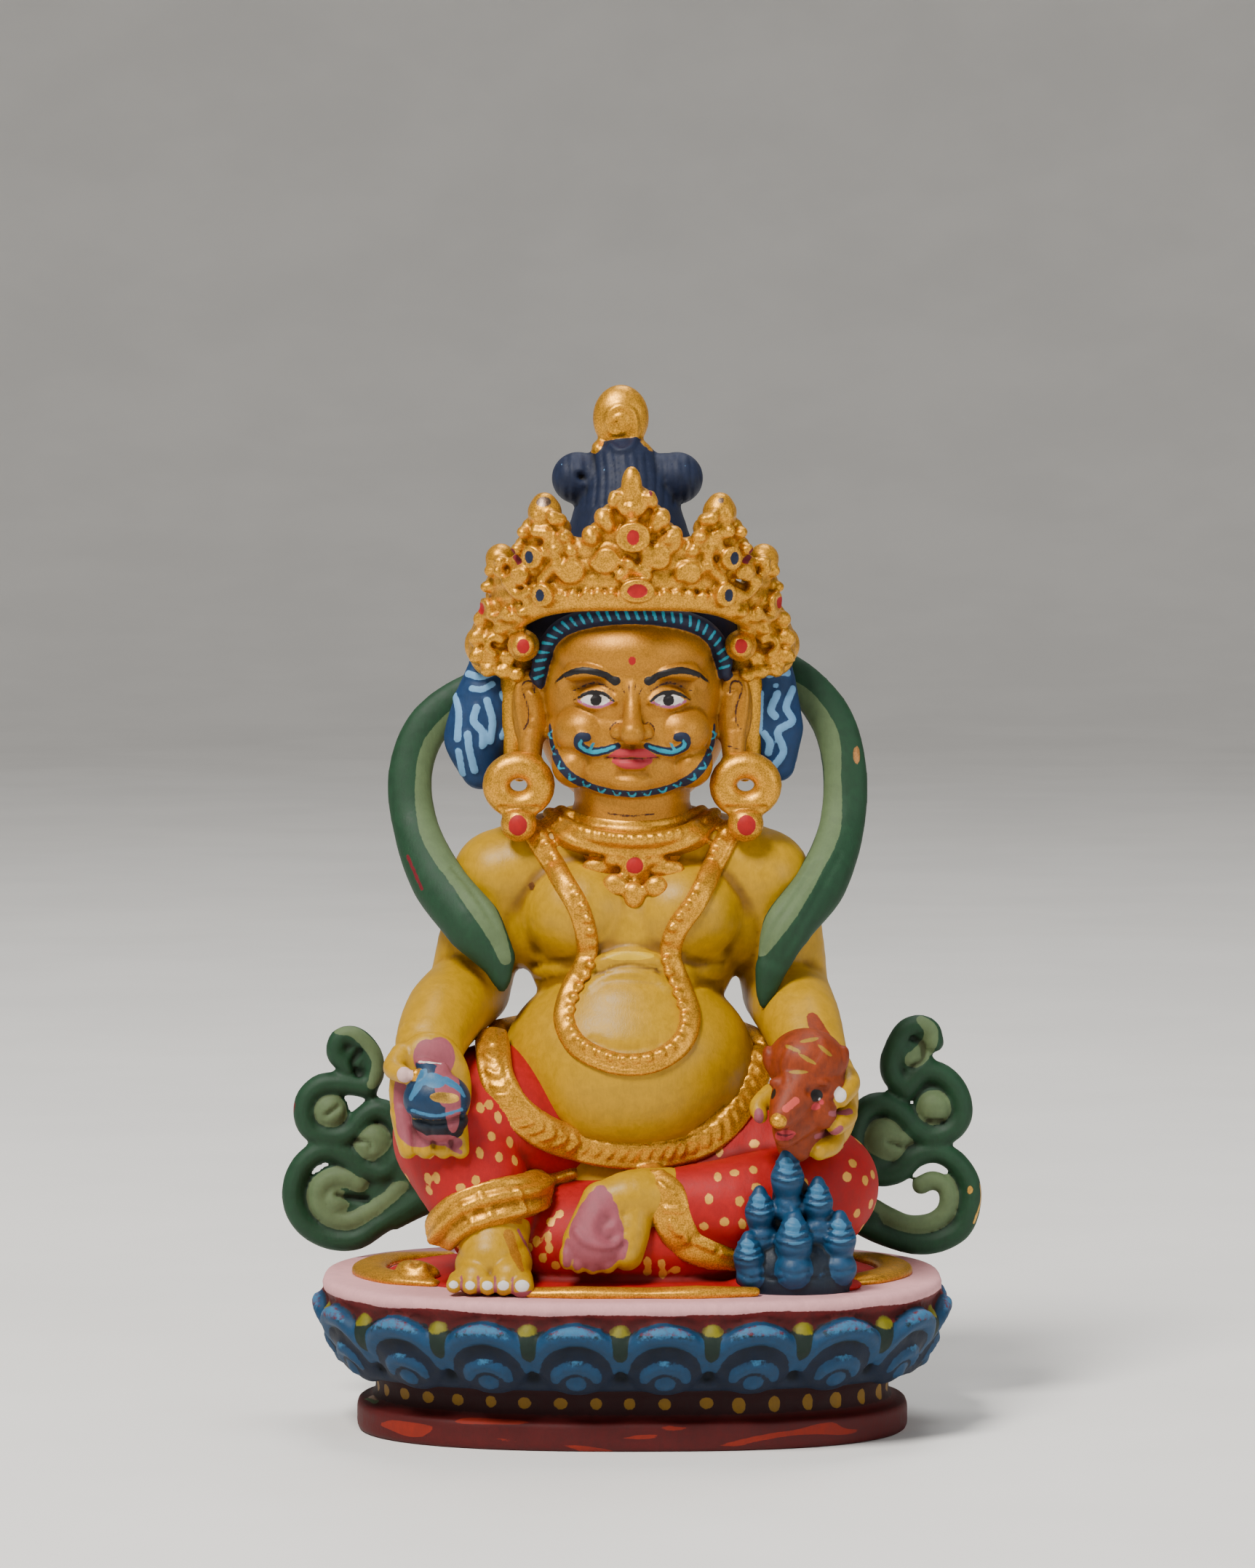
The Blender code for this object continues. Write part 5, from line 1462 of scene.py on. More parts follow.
def add_ears(clay):
    """Long ears whose lobes reach down to the rings."""
    for side in (-1, 1):
        clay.ball((side * 8.15, -0.9, 44.9), (1.45, 0.95, 3.4), (0, side * 3, 0))
        clay.strand(mirrored([(8.1, -1.0, 43.0), (8.1, -1.6, 41.1)], side), [1.1, 0.9], (1, 0.9, 1))
        clay.relief(mirrored([(7.1, 46.6), (7.6, 47.7), (8.6, 47.8), (9.1, 46.8), (9.0, 45.2), (8.7, 43.4)], side),
                    0.42, 0.16)
        clay.relief(mirrored([(7.8, 46.8), (8.4, 46.7), (8.3, 45.6), (8.0, 44.6)], side), 0.45, -0.2)


def hair_band_line(count):
    """Places along the hair band, from one temple over the brow to the other."""
    line = [(-7.35, 47.5), (-7.25, 48.8), (-6.75, 50.3), (-5.7, 51.65), (-3.9, 52.45), (-1.5, 52.75), (1.5, 52.75),
            (3.9, 52.45), (5.7, 51.7), (6.75, 50.5), (7.25, 49.2), (7.3, 48.1)]
    path = [point for _, point in smooth_path(line, 0.05)]
    return [path[round((len(path) - 1) * step / (count - 1))] for step in range(count)]


def paint_hair_band(clay):
    places = [tuple(point) for point in hair_band_line(26)]
    band = [(x, -5.3 + 3.6 * (abs(x) / 7.3) ** 3, z) for x, z in places]
    clay.use("navy").strand(band, [0.5] + [0.72] * 24 + [0.5], (1, 1.5, 1))
    clay.use("face_gold")
    dashes = 29
    line = hair_band_line(dashes * 4 + 1)
    for index in range(dashes):
        here, after = line[index * 4 + 1], line[index * 4 + 3]
        along = (after - here).normalized()
        stray = noise.noise(Vector((index * 2.1, 1.7, 0.4)))
        out = Vector((-along.y, along.x))
        first = here + out * (0.40 + 0.12 * stray) - along * 0.06
        last = here - out * (0.34 - 0.14 * stray) + along * (0.20 + 0.1 * stray)
        clay.stroke("turquoise", [first, last], [0.13, 0.10 + 0.06 * abs(stray)])


def paint_eyes(clay):
    half = EYE_WIDTH / 2
    for paint in ("white", "lid", "ink", "white", "brown"):
        for side in (-1, 1):
            centre = side * EYE_WIDTH
            if paint == "white" and clay.strokes[-1][0] != "ink":
                clay.dab("white", (centre, EYE_LINE + 0.02), (1.12, 0.52))
                clay.dab("white", (centre - 0.55, EYE_LINE - 0.02), (0.72, 0.3))
                clay.dab("white", (centre + 0.55, EYE_LINE - 0.02), (0.72, 0.3))
            elif paint == "lid":
                clay.stroke("lid", mirrored([(EYE_WIDTH - half + 0.1, EYE_LINE - 0.1), (EYE_WIDTH - 0.5,
                                                                                        EYE_LINE - 0.46),
                                             (EYE_WIDTH + 0.4, EYE_LINE - 0.48),
                                             (EYE_WIDTH + half - 0.1, EYE_LINE - 0.05)], side), 0.11)
            elif paint == "ink":
                clay.dab("ink", (side * (EYE_WIDTH - 0.05), EYE_LINE + 0.02), (0.46, 0.46))
                clay.stroke("ink", mirrored([(EYE_WIDTH - half, EYE_LINE - 0.02), (EYE_WIDTH - 0.75, EYE_LINE + 0.48),
                                             (EYE_WIDTH + 0.1, EYE_LINE + 0.66), (EYE_WIDTH + 0.9, EYE_LINE + 0.46),
                                             (EYE_WIDTH + half + 0.3, EYE_LINE - 0.02)], side),
                            [0.10, 0.16, 0.19, 0.16, 0.08])
            elif paint == "brown":
                clay.stroke("brown", mirrored([(EYE_WIDTH - half - 0.05, EYE_LINE + 0.75), (EYE_WIDTH,
                                                                                            EYE_LINE + 1.38),
                                               (EYE_WIDTH + half + 0.35, EYE_LINE + 0.7)], side), [0.06, 0.1, 0.06])


def paint_brows(clay):
    for side in (-1, 1):
        brow = [(1.35, BROW + 0.1), (2.4, BROW + 0.72), (3.9, BROW + 1.0), (5.2, BROW + 0.62), (6.1, BROW - 0.1)]
        clay.stroke("ink", mirrored(brow, side), [0.34, 0.28, 0.30, 0.22, 0.1])
        clay.dab("ink", (side * 1.32, BROW + 0.16), (0.42, 0.36))
    for side in (-1, 1):
        clay.stroke("brown", mirrored([(0.55, BROW - 0.85), (0.8, BROW - 0.4)], side), 0.055)
        clay.stroke("brown", mirrored([(0.2, BROW - 0.75), (0.28, BROW - 0.1)], side), 0.055)
        clay.stroke("brown", mirrored([(1.05, 43.1), (1.62, 43.25), (1.72, 43.9), (1.35, 44.35), (1.0, 44.25)], side),
                    0.08)
    clay.dab("red", (0.0, BROW + 1.75), (0.3, 0.36))


def paint_whiskers(clay):
    """Moustache curls and the beard along the jaw, dark with bright marks."""
    curl = [(1.15, 42.55), (2.2, 42.15), (3.3, 42.0), (4.2, 42.5), (4.15, 43.15), (3.6, 43.2)]
    jaw = [(6.55, 43.9), (6.35, 42.3), (5.65, 40.85), (4.5, 39.75), (2.9, 39.05), (1.4, 38.72), (0, 38.62)]
    line = mirrored(jaw, -1) + mirrored(list(reversed(jaw))[1:], 1)
    clay.relief(line, 0.8, 0.12)
    clay.stroke("navy", line, [0.2, 0.4, 0.44, 0.44, 0.45, 0.47, 0.48, 0.47, 0.45, 0.44, 0.44, 0.4, 0.2])
    for side in (-1, 1):
        clay.relief(mirrored(curl, side), 0.6, 0.2)
        clay.stroke("navy", mirrored(curl, side), [0.26, 0.36, 0.42, 0.42, 0.42, 0.40])
    for side in (-1, 1):
        clay.stroke("turquoise", mirrored([(1.35, 42.5), (2.3, 42.15), (3.3, 42.02), (4.1, 42.5), (4.0, 42.95)],
                                          side),
                    [0.1, 0.17, 0.17, 0.15, 0.12])
        clay.stroke("turquoise", mirrored([(3.35, 42.1), (3.05, 42.75)], side), [0.14, 0.1])
    path = [point for _, point in smooth_path(line, 0.05)]
    marks = 15
    for index in range(marks):
        here = path[round((len(path) - 1) * (index + 0.6) / (marks + 0.2))]
        after = path[min(round((len(path) - 1) * (index + 0.6) / (marks + 0.2)) + 6, len(path) - 1)]
        along = (after - here).normalized()
        out = Vector((-along.y, along.x))
        points = [here - along * 0.34 + out * 0.2, here - out * 0.2, here + along * 0.3 + out * 0.16]
        clay.stroke("turquoise", points, [0.08, 0.14, 0.08])


def paint_mouth(clay):
    clay.stroke("lip", [(-1.85, MOUTH + 0.06), (-0.95, MOUTH + 0.38), (-0.2, MOUTH + 0.42), (0.2, MOUTH + 0.42),
                        (0.95, MOUTH + 0.38), (1.85, MOUTH + 0.06)], [0.12, 0.4, 0.36, 0.36, 0.4, 0.12])
    clay.stroke("lip", [(-1.4, MOUTH - 0.2), (-0.6, MOUTH - 0.42), (0.6, MOUTH - 0.42), (1.4, MOUTH - 0.2)],
                [0.24, 0.46, 0.46, 0.24])
    clay.stroke("maroon", [(-2.1, MOUTH + 0.04), (-0.9, MOUTH - 0.04), (0, MOUTH + 0.02), (0.9, MOUTH - 0.04),
                           (2.1, MOUTH + 0.04)], [0.05, 0.08, 0.08, 0.08, 0.05])


def paint_ears(clay):
    for side in (-1, 1):
        clay.stroke("brown", mirrored([(7.75, 46.5), (7.95, 47.35), (8.6, 47.3), (8.65, 46.5), (8.3, 45.4), (8.25,
                                                                                                             44.3),
                                       (8.6, 43.6)], side), 0.08)
    clay.stroke("brown", [(7.6, 42.3), (8.5, 42.0)], 0.07)
    clay.stroke("brown", [(-8.9, 41.5), (-7.7, 41.35)], 0.08)


class STATUETTE_OT_head(bpy.types.Operator):
    """Make the head with its painted face, ears and hair band"""
    bl_idname = "statuette.head"
    bl_label = "Head"

    def execute(self, context):
        clay = Clay("face_gold")
        for step in (add_skull, add_nose, add_eyes, add_mouth, add_ears):
            step(clay)
        clay.strand([(0, 0.8, 34.6), (0, 0.2, 37.0), (0, -0.4, 40.0)], [5.3, 4.7, 4.6], (1, 0.95, 1))
        paint_hair_band(clay)
        paint_brows(clay)
        paint_eyes(clay)
        paint_mouth(clay)
        paint_whiskers(clay)
        paint_ears(clay)
        for line in ([(-1.9, 37.05), (-0.2, 36.85), (1.7, 37.0)], [(-2.8, 36.4), (-0.2, 36.05), (3.2, 36.6)]):
            clay.stroke("brown", line, 0.08)
        clay.melt("head", 0.17)
        return {'FINISHED'}


def add_ring(clay, centre, radii, girth):
    points = []
    for step in range(25):
        angle = math.tau * step / 24
        points.append((centre[0] + radii[0] * math.cos(angle), centre[1], centre[2] + radii[1] * math.sin(angle)))
    clay.strand(points, girth)


class STATUETTE_OT_earrings(bpy.types.Operator):
    """Make the two ring earrings and their drops"""
    bl_idname = "statuette.earrings"
    bl_label = "Earrings"

    def execute(self, context):
        clay = Clay("gold")
        for side in (-1, 1):
            add_ring(clay, (side * 9.0, -2.6, 39.2), (1.78, 1.58), 1.12)
            clay.ball((side * 9.0, -3.1, 36.15), (1.45, 1.3, 1.45))
            clay.ball((side * 8.1, -1.9, 41.0), (1.1, 1.1, 0.8))
            clay.dab("red", (side * 9.05, 36.1), (0.76, 0.86))
            clay.relief([(side * 7.6, 37.4), (side * 9.0, 37.5), (side * 10.4, 37.4)], 0.4, -0.2)
        clay.melt("earrings", 0.16)
        return {'FINISHED'}


# Crown and hair


def crown_place(angle, height, out=0.0):
    """A place on the crown, which flares as it rises, at an angle from the front."""
    flare = 0.10 * (height - 54) + out
    return ((11.0 + flare) * math.sin(angle), 1.2 - (8.6 + flare) * math.cos(angle), height)


def crown_angle(x, height):
    """The angle at which the crown's wall passes a place across."""
    return math.asin(max(-1, min(1, x / (11.0 + 0.10 * (height - 54)))))


def crown_lump(clay, x, z, radii, out=0.75, turn=0.0):
    """A lump on the crown's wall, where it is seen from the front."""
    angle = crown_angle(x, z)
    clay.ball(crown_place(angle, z, out), radii, (0, turn, math.degrees(angle)))


def crown_curl(clay, places, girth, out=0.95):
    clay.strand([crown_place(crown_angle(x, z), z, out) for x, z in places], girth)


def crown_boss(clay, x, z, size, stone, stone_size, out=1.0):
    """A raised ring with a painted stone in it."""
    angle = crown_angle(x, z)
    wide, tall = size
    clay.ball(crown_place(angle, z, out), (wide, 0.75, tall), (0, 0, math.degrees(angle)))
    edge = []
    for step in range(13):
        part = math.tau * step / 12
        edge.append(crown_place(angle + 0.78 * wide * math.cos(part) / 11.0, z + 0.78 * tall * math.sin(part),
                                out + 0.62))
    clay.strand(edge, 0.26)
    clay.dab(stone, crown_place(angle, z, out + 0.9)[::2], stone_size)


def crown_swirl(clay, x, z, radius, way, girth=0.36):
    """A rolled scroll that winds in from its rim."""
    places = []
    for step in range(15):
        angle = math.radians(200 + way * 38 * step)
        reach = radius * (1 - 0.055 * step)
        places.append((x + reach * math.cos(angle), z + reach * math.sin(angle)))
    crown_curl(clay, places, girth)


def crown_leaf(clay, degrees, foot, tip, half_width, bud):
    """The body of a leaf that narrows to a bud at its tip."""
    angle = math.radians(degrees)
    rise = tip - foot
    for share in (0.0, 0.25, 0.5, 0.72):
        half = half_width * (1 - share)
        height = foot + rise * share
        clay.ball(crown_place(angle, height), (half, 0.8, rise * 0.2), (0, 0, degrees))
        for side in (-1, 1):
            reach = side * (half - 0.3) / 11.0
            clay.ball(crown_place(angle + reach, height), (0.7, 0.9, 0.85), (0, 0, degrees))
    clay.strand([crown_place(angle, foot + rise * 0.72), crown_place(angle, tip - bud)], [1.3 * bud, bud])


def add_crown_wall(clay):
    """Band, wall, the tie behind the head and the fans behind the ears."""
    band = []
    for degrees in range(-90, 91, 10):
        angle = math.radians(degrees)
        band.append(crown_place(angle, 54.0 - 3.2 * math.sin(angle) ** 4))
    clay.strand(band, 0.85)
    upper = [(x, y, z + 1.35) for x, y, z in band]
    clay.strand([(x, y, z + 1.7) for x, y, z in band], 0.8)
    clay.beads([(x * 1.045, y - 0.72, z + 0.5) for x, y, z in band], 0.98, (0.42, 0.42, 0.46))
    clay.strand([(x * 1.03, y - 0.45, z) for x, y, z in upper], 0.34)
    for height, reach in ((57.0, 48), (58.2, 20)):
        clay.strand([crown_place(math.radians(turn), height) for turn in range(-reach, reach + 1, 8)], 0.8)
    tie = [(10.2 * math.cos(math.radians(turn)), 1.0 + 8.1 * math.sin(math.radians(turn)), 51.4)
           for turn in range(0, 181, 15)]
    clay.strand(tie, 0.9, (1, 1, 1.3))
    for side in (-1, 1):
        clay.ball((side * 10.6, 0.4, 51.2), (2.2, 1.1, 3.5), (0, side * -18, 0))
        clay.ball((side * 12.3, 0.8, 50.2), (1.1, 1.0, 1.5))
        clay.ball((side * 9.0, 0.8, 45.4), (1.8, 1.6, 6.2))
        clay.ball((side * 8.6, -3.2, 50.3), (1.3, 1.0, 1.3))
        clay.ball((side * 11.0, -0.4, 50.6), (1.9, 1.1, 2.9), (0, side * -18, 0))
        for x, z, size in ((11.9, 52.4, 0.8), (12.3, 50.9, 0.8), (12.3, 49.4, 0.75), (11.0, 49.4, 0.7), (10.1, 48.2,
                                                                                                         0.75),
                           (10.9, 51.2, 0.75), (9.7, 51.8, 0.8), (9.7, 49.4, 0.75), (9.1, 47.9, 0.7), (11.4, 48.3,
                                                                                                       0.7)):
            clay.ball((side * x, -1.35, z), (size, 0.55, size * 0.85), (0, side * 30, 0))
        crown_curl(clay, [(side * x, z) for x, z in ((8.9, 53.3), (9.4, 52.5), (10.2, 52.6), (10.3, 53.4))], 0.3, 1.3)
        clay.strand([(side * x, -1.9, z) for x, z in ((10.4, 50.6), (11.2, 50.9), (11.5, 50.1), (10.9, 49.6))], 0.3)


def add_crown_leaves(clay):
    crown_leaf(clay, 0, 58.0, 63.6, 3.9, 0.8)
    for side in (-1, 1):
        crown_leaf(clay, side * 36, 56.8, 62.5, 3.5, 1.05)
        crown_leaf(clay, side * 67, 54.2, 58.3, 2.7, 0.95)
        for x, z, size in ((1.25, 62.1, 0.6), (2.1, 60.5, 0.85), (3.0, 59.1, 0.85), (1.7, 59.9, 0.6)):
            crown_lump(clay, side * x, z, (size * 0.9, 0.75, size), 0.85, side * 18)
        for x, z, size in ((5.3, 60.4, 0.62), (6.9, 60.6, 0.7), (6.3, 59.3, 0.72), (4.9, 59.0, 0.75), (7.9, 59.3,
                                                                                                       0.6),
                           (5.6, 58.0, 0.62), (8.3, 58.0, 0.6), (4.4, 57.9, 0.62), (5.5, 56.7, 0.55)):
            crown_lump(clay, side * x, z, (size, 0.7, size * 0.8), 0.85, side * -25)
        for x, z, size in ((9.6, 57.0, 0.6), (10.3, 56.2, 0.62), (9.0, 55.4, 0.7), (10.6, 54.9, 0.6), (8.4, 56.2,
                                                                                                       0.5),
                           (7.9, 53.0, 0.55), (8.9, 52.6, 0.6), (9.6, 51.6, 0.6)):
            crown_lump(clay, side * x, z, (size, 0.7, size * 0.85), 0.85)
    crown_lump(clay, -0.05, 62.9, (0.85, 0.7, 1.7), 0.6)
    crown_lump(clay, -0.05, 61.3, (0.72, 0.6, 0.5), 1.0)
    crown_curl(clay, [(-0.9, 62.2), (-0.75, 61.1), (0, 60.75), (0.7, 61.1), (0.8, 62.2)], 0.3, 1.0)
    for x, z, size in ((-1.4, 61.7, 0.5), (1.5, 61.7, 0.5), (-2.05, 60.3, 0.6), (2.3, 60.3, 0.6), (-2.85, 58.9, 0.62),
                       (2.6, 58.9, 0.62), (-5.6, 60.5, 0.7), (5.7, 60.5, 0.7), (-6.8, 59.4, 0.6), (6.9, 59.4, 0.6),
                       (-4.8, 59.0, 0.55), (4.9, 59.0, 0.55), (-0.2, 56.9, 0.6), (-9.5, 56.2, 0.5), (9.5, 56.4, 0.5)):
        crown_lump(clay, x, z, (size * 0.75, 0.6, size), 1.15, 30 * math.copysign(1, x))


def add_crown_curls(clay):
    """Rolled scrolls between the leaves and the band."""
    curls = ([(2.2, 58.7), (2.9, 59.2), (3.3, 58.7), (3.0, 58.2)],
             [(-0.9, 55.9), (0.1, 56.5), (1.1, 56.0)],
             [(-6.6, 55.6), (-5.9, 56.4), (-5.4, 57.2)],
             [(6.6, 55.6), (5.9, 56.3), (5.5, 57.2)],
             [(-8.9, 55.0), (-8.2, 54.3), (-7.4, 54.7)],
             [(8.9, 55.0), (8.2, 54.3), (7.4, 54.7)])
    for places in curls:
        crown_curl(clay, places, 0.42)
    for x, z, radius, way in ((-1.9, 57.3, 0.95, 1), (-4.4, 56.4, 0.85, 1), (1.8, 57.3, 0.95, -1), (4.15, 56.1, 0.8,
                                                                                                    -1),
                              (-5.85, 58.2, 0.62, 1), (5.9, 58.3, 0.62, -1), (-8.2, 56.0, 0.6, 1), (8.3, 56.1, 0.6,
                                                                                                    -1)):
        crown_swirl(clay, x, z, radius, way)


def add_crown_bosses(clay):
    crown_boss(clay, 0.06, 59.0, (1.25, 1.25), "red", (0.5, 0.6), 1.15)
    crown_boss(clay, 0.35, 54.8, (1.3, 0.95), "red", (0.8, 0.56), 1.2)
    for x, z in ((-6.2, 54.4), (6.5, 54.4), (-6.95, 57.4), (6.9, 57.3)):
        crown_boss(clay, x, z, (0.85, 0.95), "navy", (0.36, 0.52), 0.95)
    for x, z in ((-10.3, 53.2), (10.1, 53.7)):
        crown_boss(clay, x, z, (0.95, 0.85), "red", (0.42, 0.5), 0.8)
    for side in (-1, 1):
        clay.ball((side * 8.6, -4.1, 50.3), (0.95, 0.6, 1.0))
        clay.dab("red", (side * 8.6, 50.3), (0.5, 0.6))


def paint_crown(clay):
    """Maroon edges and backs of the leaves."""
    for side in (-1, 1):
        clay.stroke("maroon", mirrored([(5.0, 61.6), (4.5, 60.4), (4.0, 59.3)], side), 0.16)
        clay.stroke("maroon", mirrored([(8.9, 57.0), (9.4, 57.8)], side), 0.3)
    clay.stroke("maroon", [(1.2, 63.2), (1.5, 62.3)], 0.12)
    for line in ([(0, 62.6), (0, 59.5)], [(-3, 59.5), (3, 59.5)], [(-6.3, 61.2), (-6.3, 57.5)], [(6.3, 61.2),
                                                                                                 (6.3, 57.5)],
                 [(-9.8, 57.4), (-9.8, 55)], [(9.8, 57.4), (9.8, 55)], [(-8, 57), (8, 57)]):
        clay.stroke("maroon", line, 0.8, 180)


class STATUETTE_OT_crown(bpy.types.Operator):
    """Make the five-leafed crown with its scrolls, beads and stones"""
    bl_idname = "statuette.crown"
    bl_label = "Crown"

    def execute(self, context):
        clay = Clay("gold")
        add_crown_wall(clay)
        add_crown_leaves(clay)
        add_crown_curls(clay)
        add_crown_bosses(clay)
        clay.dab("old_metal", (-6.95, 61.75), (0.6, 0.42))
        clay.dab("old_metal", (6.95, 61.85), (0.24, 0.28))
        paint_crown(clay)
        clay.melt("crown", 0.19)
        return {'FINISHED'}


def comb_topknot(clay):
    """Combed grooves in the hair, the finial's spiral, a pit and worn specks."""
    for index in range(17):
        x = -5.9 + 0.7 * index
        stray = noise.noise(Vector((index * 1.7, 0.3, 6.1)))
        clay.relief([(x, 65.4), (x + 0.15 + 0.2 * stray, 63.5), (x + 0.1, 61.4)], 0.22, -0.09 - 0.05 * stray)
        clay.relief([(-x - 0.8, 65.4), (-x - 0.8 + 0.2 * stray, 61.4)], 0.24, -0.12, 180)
    for index in range(9):
        x = -3.6 + 0.85 * index
        clay.relief([(x * 0.75, 61.2), (x, 59.0)], 0.22, -0.08)
        clay.relief([(x * 0.75, 61.2), (x * 1.5, 57.0), (x * 1.9, 51.0), (x * 1.5, 41.0)], 0.32, -0.16, 180)
    clay.relief([(-4.1, 63.7), (-3.95, 63.55)], 0.42, -0.7)
    clay.relief([(-1.75, 66.2), (-1.0, 65.7), (-0.1, 66.0), (0.3, 67.2), (0.1, 68.6), (-0.8, 69.2), (-1.7, 68.8),
                 (-1.95, 67.9), (-1.5, 67.1), (-0.8, 67.2)], 0.36, 0.22)
    clay.relief([(-1.5, 68.2), (-0.9, 68.4), (-0.5, 68.0), (-0.8, 67.6)], 0.4, 0.18)
    # Painted shadow: a black dab fills the pit.
    clay.dab("ink", (-4.03, 63.6), (0.26, 0.26))
    for x, z in ((-5.6, 64.6), (2.9, 62.0), (4.2, 64.5), (-2.2, 64.2), (5.0, 63.0), (-3.9, 61.9)):
        clay.dab("hair_light", (x, z), (0.06, 0.07))


class STATUETTE_OT_topknot(bpy.types.Operator):
    """Make the tied topknot with its bow and the gilt finial"""
    bl_idname = "statuette.topknot"
    bl_label = "Topknot and Finial"

    def execute(self, context):
        clay = Clay("navy")
        clay.ball((0, 2.8, 50.8), (9.2, 7.0, 7.0))
        clay.ball((0, 3.9, 46.2), (7.8, 5.1, 8.6))
        clay.strand([(-0.3, 1.5, 56), (-0.4, 1.5, 60.6), (-0.6, 1.5, 64)], [5.6, 4.2, 2.9])
        clay.strand([(-4.2, 1.5, 63.5), (3.4, 1.5, 63.5)], 2.02, (1, 0.95, 1))
        clay.ball((-4.3, 1.4, 63.5), (2.12, 2.0, 2.1))
        clay.ball((3.55, 1.4, 63.5), (2.12, 2.0, 2.1))
        clay.ball((-0.9, 1.5, 65.2), (2.5, 1.8, 1.2))
        clay.use("gold")
        clay.ball((-0.9, 1.5, 68.3), (2.25, 1.55, 2.65))
        for x, z in ((-2.7, 65.9), (-1.7, 65.6), (0.8, 65.9), (1.1, 65.6)):
            clay.ball((x, 1.0, z), (0.55, 0.9, 0.6))
        comb_topknot(clay)
        clay.melt("topknot", 0.21)
        return {'FINISHED'}


def paint_tufts(clay):
    left = ([(0, 270), (45, 300), (80, 290)], [(0, 350), (55, 362), (110, 345)], [(20, 415), (70, 418), (115, 395)],
            [(160, 440), (180, 490), (185, 560), (160, 630)], [(42, 500), (30, 560), (70, 610), (70, 670)],
            [(90, 470), (115, 560), (105, 650)], [(2, 620), (12, 700), (32, 785)], [(-75, 330), (-30, 352)],
            [(-70, 420), (-40, 520), (-45, 640)], [(-40, 700), (-25, 800)])
    right = ([(1345, 225), (1375, 160), (1392, 110)], [(1380, 292), (1435, 255)], [(1350, 352), (1400, 340),
                                                                                   (1438, 345)],
             [(1282, 400), (1265, 500), (1270, 610)], [(1312, 440), (1305, 600)], [(1390, 440), (1360, 510),
                                                                                   (1380, 540)],
             [(1462, 420), (1430, 500), (1460, 560), (1392, 610), (1418, 700), (1372, 770)],
             [(1330, 620), (1355, 660), (1348, 705)])
    widths = {0: 0.28, 1: 0.3, 2: 0.26}
    for index, places in enumerate(left + right):
        line = [(-9.2 + (across - 222) * 0.01779, 36.2 - (down - 1010) * 0.0178) for across, down in places]
        clay.relief(line, 0.5, 0.14)
        clay.stroke("hair_light", line, widths.get(index, 0.32) if index != len(left) else [0.4, 0.55, 0.4])
    clay.dab("hair_light", (11.45, 47.0), (0.26, 0.18))
    for side in (-1, 1):
        for x, high, low in ((10.4, 47, 41), (11.8, 48, 40), (13.0, 46, 41)):
            line = [(-side * x, high), (-side * (x + 0.4), (high + low) / 2), (-side * x, low)]
            clay.relief(line, 0.4, 0.16, 180)
            clay.stroke("hair_light", line, 0.24, 180)


class STATUETTE_OT_tufts(bpy.types.Operator):
    """Make the locks of blue hair beside the ears"""
    bl_idname = "statuette.tufts"
    bl_label = "Hair Tufts"

    def execute(self, context):
        clay = Clay("hair_blue")
        clay.strand([(-11.6, 1.2, 48.4), (-11.9, 1.0, 45.6), (-12.4, 1.0, 42.8), (-12.1, 1.0, 40.2)], [1.5, 2.35,
                                                                                                       2.65, 1.6],
                    (1, 0.7, 1))
        clay.strand([(10.9, 1.2, 50.4), (11.2, 1.0, 47.2), (11.5, 1.0, 43.6), (11.7, 1.0, 40.6)], [1.3, 1.9, 2.2,
                                                                                                   1.35],
                    (1, 0.7, 1))
        for side in (-1, 1):
            clay.strand([(side * 6, 3, 48), (side * 10.5, 1.8, 46.5)], [3.0, 1.8])
        paint_tufts(clay)
        clay.melt("tufts", 0.20)
        return {'FINISHED'}


# Stage


# Lamps: name, place, width, power, colour
LAMPS = (("key_light", (-0.24, -0.40, 0.60), 0.22, 8.6, (1.0, 0.97, 0.93)),
         ("fill_light", (0.50, -0.42, 0.24), 0.36, 1.3, (0.93, 0.96, 1.0)),
         ("top_light", (0.05, 0.25, 0.70), 0.36, 2.6, (1.0, 1.0, 1.0)))


def add_light(name, place, aim, width, power, colour):
    lamp = bpy.data.lights.new(name, 'AREA')
    lamp.shape = 'DISK'
    lamp.size = width
    lamp.energy = power
    lamp.color = colour
    item = bpy.data.objects.new(name, lamp)
    item.location = place
    item.rotation_euler = (Vector(aim) - Vector(place)).to_track_quat('-Z', 'Y').to_euler()
    bpy.context.scene.collection.objects.link(item)


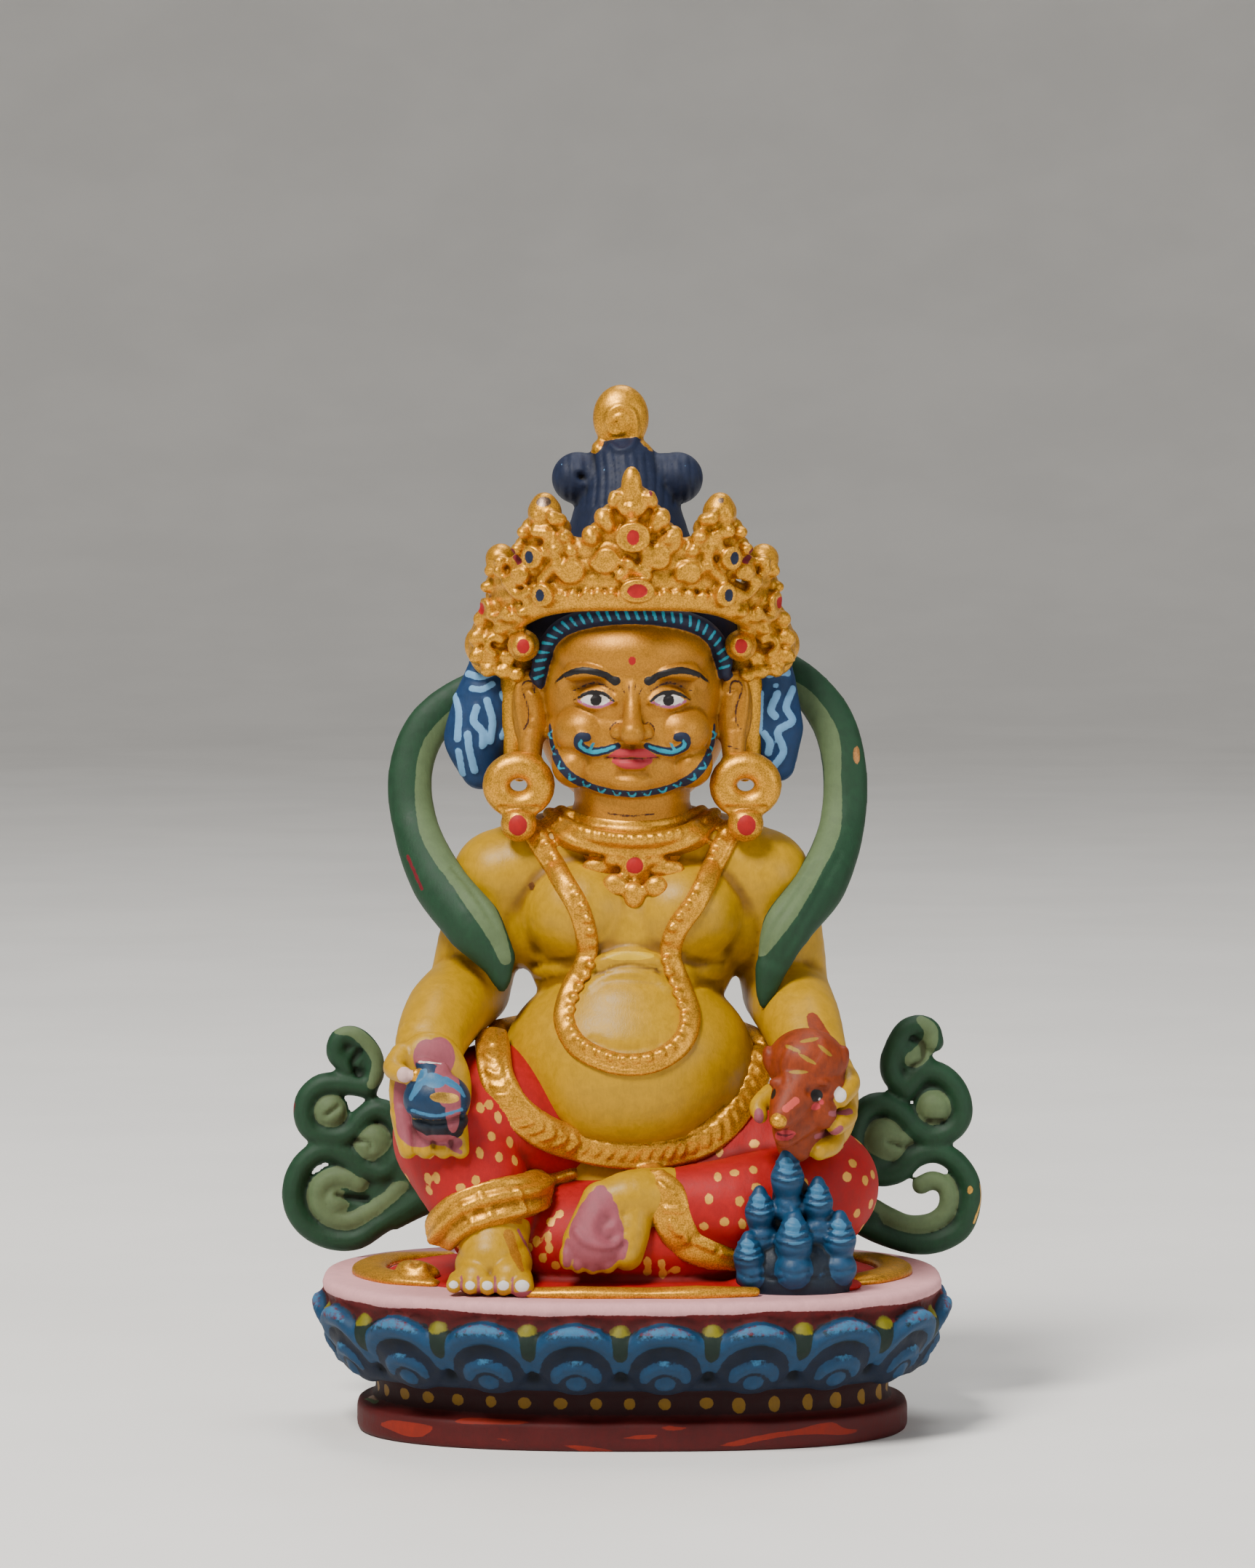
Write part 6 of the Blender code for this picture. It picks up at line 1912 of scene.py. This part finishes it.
class STATUETTE_OT_stage(bpy.types.Operator):
    """Make the pale floor, the soft lights and the camera"""
    bl_idname = "statuette.stage"
    bl_label = "Floor, Lights and Camera"

    def execute(self, context):
        stage = context.scene.statuette_stage
        self.floor(stage)
        self.lights(context, stage)
        self.camera(context, stage)
        return {'FINISHED'}

    def floor(self, stage):
        bm = bmesh.new()
        profile = [(0.0, 0.0), (0.5, 0.0)]
        profile += [(1.0 + 0.6 * math.sin(math.radians(turn)), 0.6 - 0.6 * math.cos(math.radians(turn)))
                    for turn in range(0, 91, 6)] + [(1.6, 1.3)]
        row = [bm.verts.new((across, 0, height)) for across, height in profile]
        edges = [bm.edges.new(pair) for pair in zip(row, row[1:])]
        bmesh.ops.spin(bm, geom=row + edges, cent=(0, 0, 0), axis=(0, 0, 1), angle=math.tau, steps=64, use_merge=True)
        bmesh.ops.remove_doubles(bm, verts=bm.verts, dist=1e-6)
        bmesh.ops.recalc_face_normals(bm, faces=bm.faces)
        bmesh.ops.reverse_faces(bm, faces=bm.faces)
        item = add_object("floor", bm)
        item.data.shade_smooth()
        pot = PaintPot("floor_paper")
        place = pot.place()
        share = pot.ramp(pot.grain(place, 0.02, 3.0, 0.6), 0.3, 0.7)
        pale = tuple(stage.floor_colour)
        pot.feed(pot.shader.inputs["Base Color"], pot.blend(share, tinted(pale, 0.96), tinted(pale, 1.02)))
        pot.shader.inputs["Roughness"].default_value = 0.85
        item.data.materials.append(pot.material)

    def lights(self, context, stage):
        for name, place, width, power, colour in LAMPS:
            add_light(name, place, stage.aim, width, power, colour)
        world = bpy.data.worlds.new("soft_room")
        world.use_nodes = True
        world.node_tree.nodes["Background"].inputs["Color"].default_value = (0.86, 0.87, 0.90, 1.0)
        world.node_tree.nodes["Background"].inputs["Strength"].default_value = ROOM_LIGHT
        context.scene.world = world

    def camera(self, context, stage):
        lens = bpy.data.cameras.new("camera")
        lens.sensor_fit = 'VERTICAL'
        lens.sensor_height = 24
        lens.lens = 24 * stage.distance / stage.frame_height
        lens.clip_start = 0.01
        item = bpy.data.objects.new("camera", lens)
        aim = Vector(stage.aim)
        back = Vector((0, -math.cos(stage.elevation), math.sin(stage.elevation)))
        item.location = aim + back * stage.distance
        item.rotation_euler = (-back).to_track_quat('-Z', 'Y').to_euler()
        context.scene.collection.objects.link(item)
        context.scene.camera = item


class STATUETTE_PT_panel(bpy.types.Panel):
    """Statuette sizes and makers"""
    bl_idname = "STATUETTE_PT_panel"
    bl_label = "Statuette"
    bl_space_type = 'VIEW_3D'
    bl_region_type = 'UI'
    bl_category = "Statuette"

    def draw(self, context):
        layout = self.layout
        for group in (context.scene.statuette_sizes, context.scene.statuette_stage):
            box = layout.box()
            for name in group.__annotations__:
                box.prop(group, name)
        for maker in MAKERS:
            layout.operator(maker.bl_idname)


MAKERS = (STATUETTE_OT_slab, STATUETTE_OT_lotus, STATUETTE_OT_lap, STATUETTE_OT_feet, STATUETTE_OT_body,
          STATUETTE_OT_necklaces,
          STATUETTE_OT_giving_hand, STATUETTE_OT_mongoose, STATUETTE_OT_jewels, STATUETTE_OT_sashes,
          STATUETTE_OT_scrolls, STATUETTE_OT_head, STATUETTE_OT_earrings, STATUETTE_OT_crown, STATUETTE_OT_topknot,
          STATUETTE_OT_tufts, STATUETTE_OT_stage)
CLASSES = (StatuetteSizes, StatuetteStage) + MAKERS + (STATUETTE_PT_panel,)


def register():
    for kind in CLASSES:
        bpy.utils.register_class(kind)
    bpy.types.Scene.statuette_sizes = bpy.props.PointerProperty(type=StatuetteSizes)
    bpy.types.Scene.statuette_stage = bpy.props.PointerProperty(type=StatuetteStage)


def unregister():
    del bpy.types.Scene.statuette_stage
    del bpy.types.Scene.statuette_sizes
    for kind in reversed(CLASSES):
        bpy.utils.unregister_class(kind)


def main():
    register()
    bpy.ops.statuette.slab()
    bpy.ops.statuette.lotus()
    bpy.ops.statuette.lap()
    bpy.ops.statuette.feet()
    bpy.ops.statuette.body()
    bpy.ops.statuette.necklaces()
    bpy.ops.statuette.giving_hand()
    bpy.ops.statuette.mongoose()
    bpy.ops.statuette.jewels()
    bpy.ops.statuette.sashes()
    bpy.ops.statuette.scrolls()
    bpy.ops.statuette.head()
    bpy.ops.statuette.earrings()
    bpy.ops.statuette.crown()
    bpy.ops.statuette.topknot()
    bpy.ops.statuette.tufts()
    bpy.ops.statuette.stage()


if __name__ == "__main__":
    main()
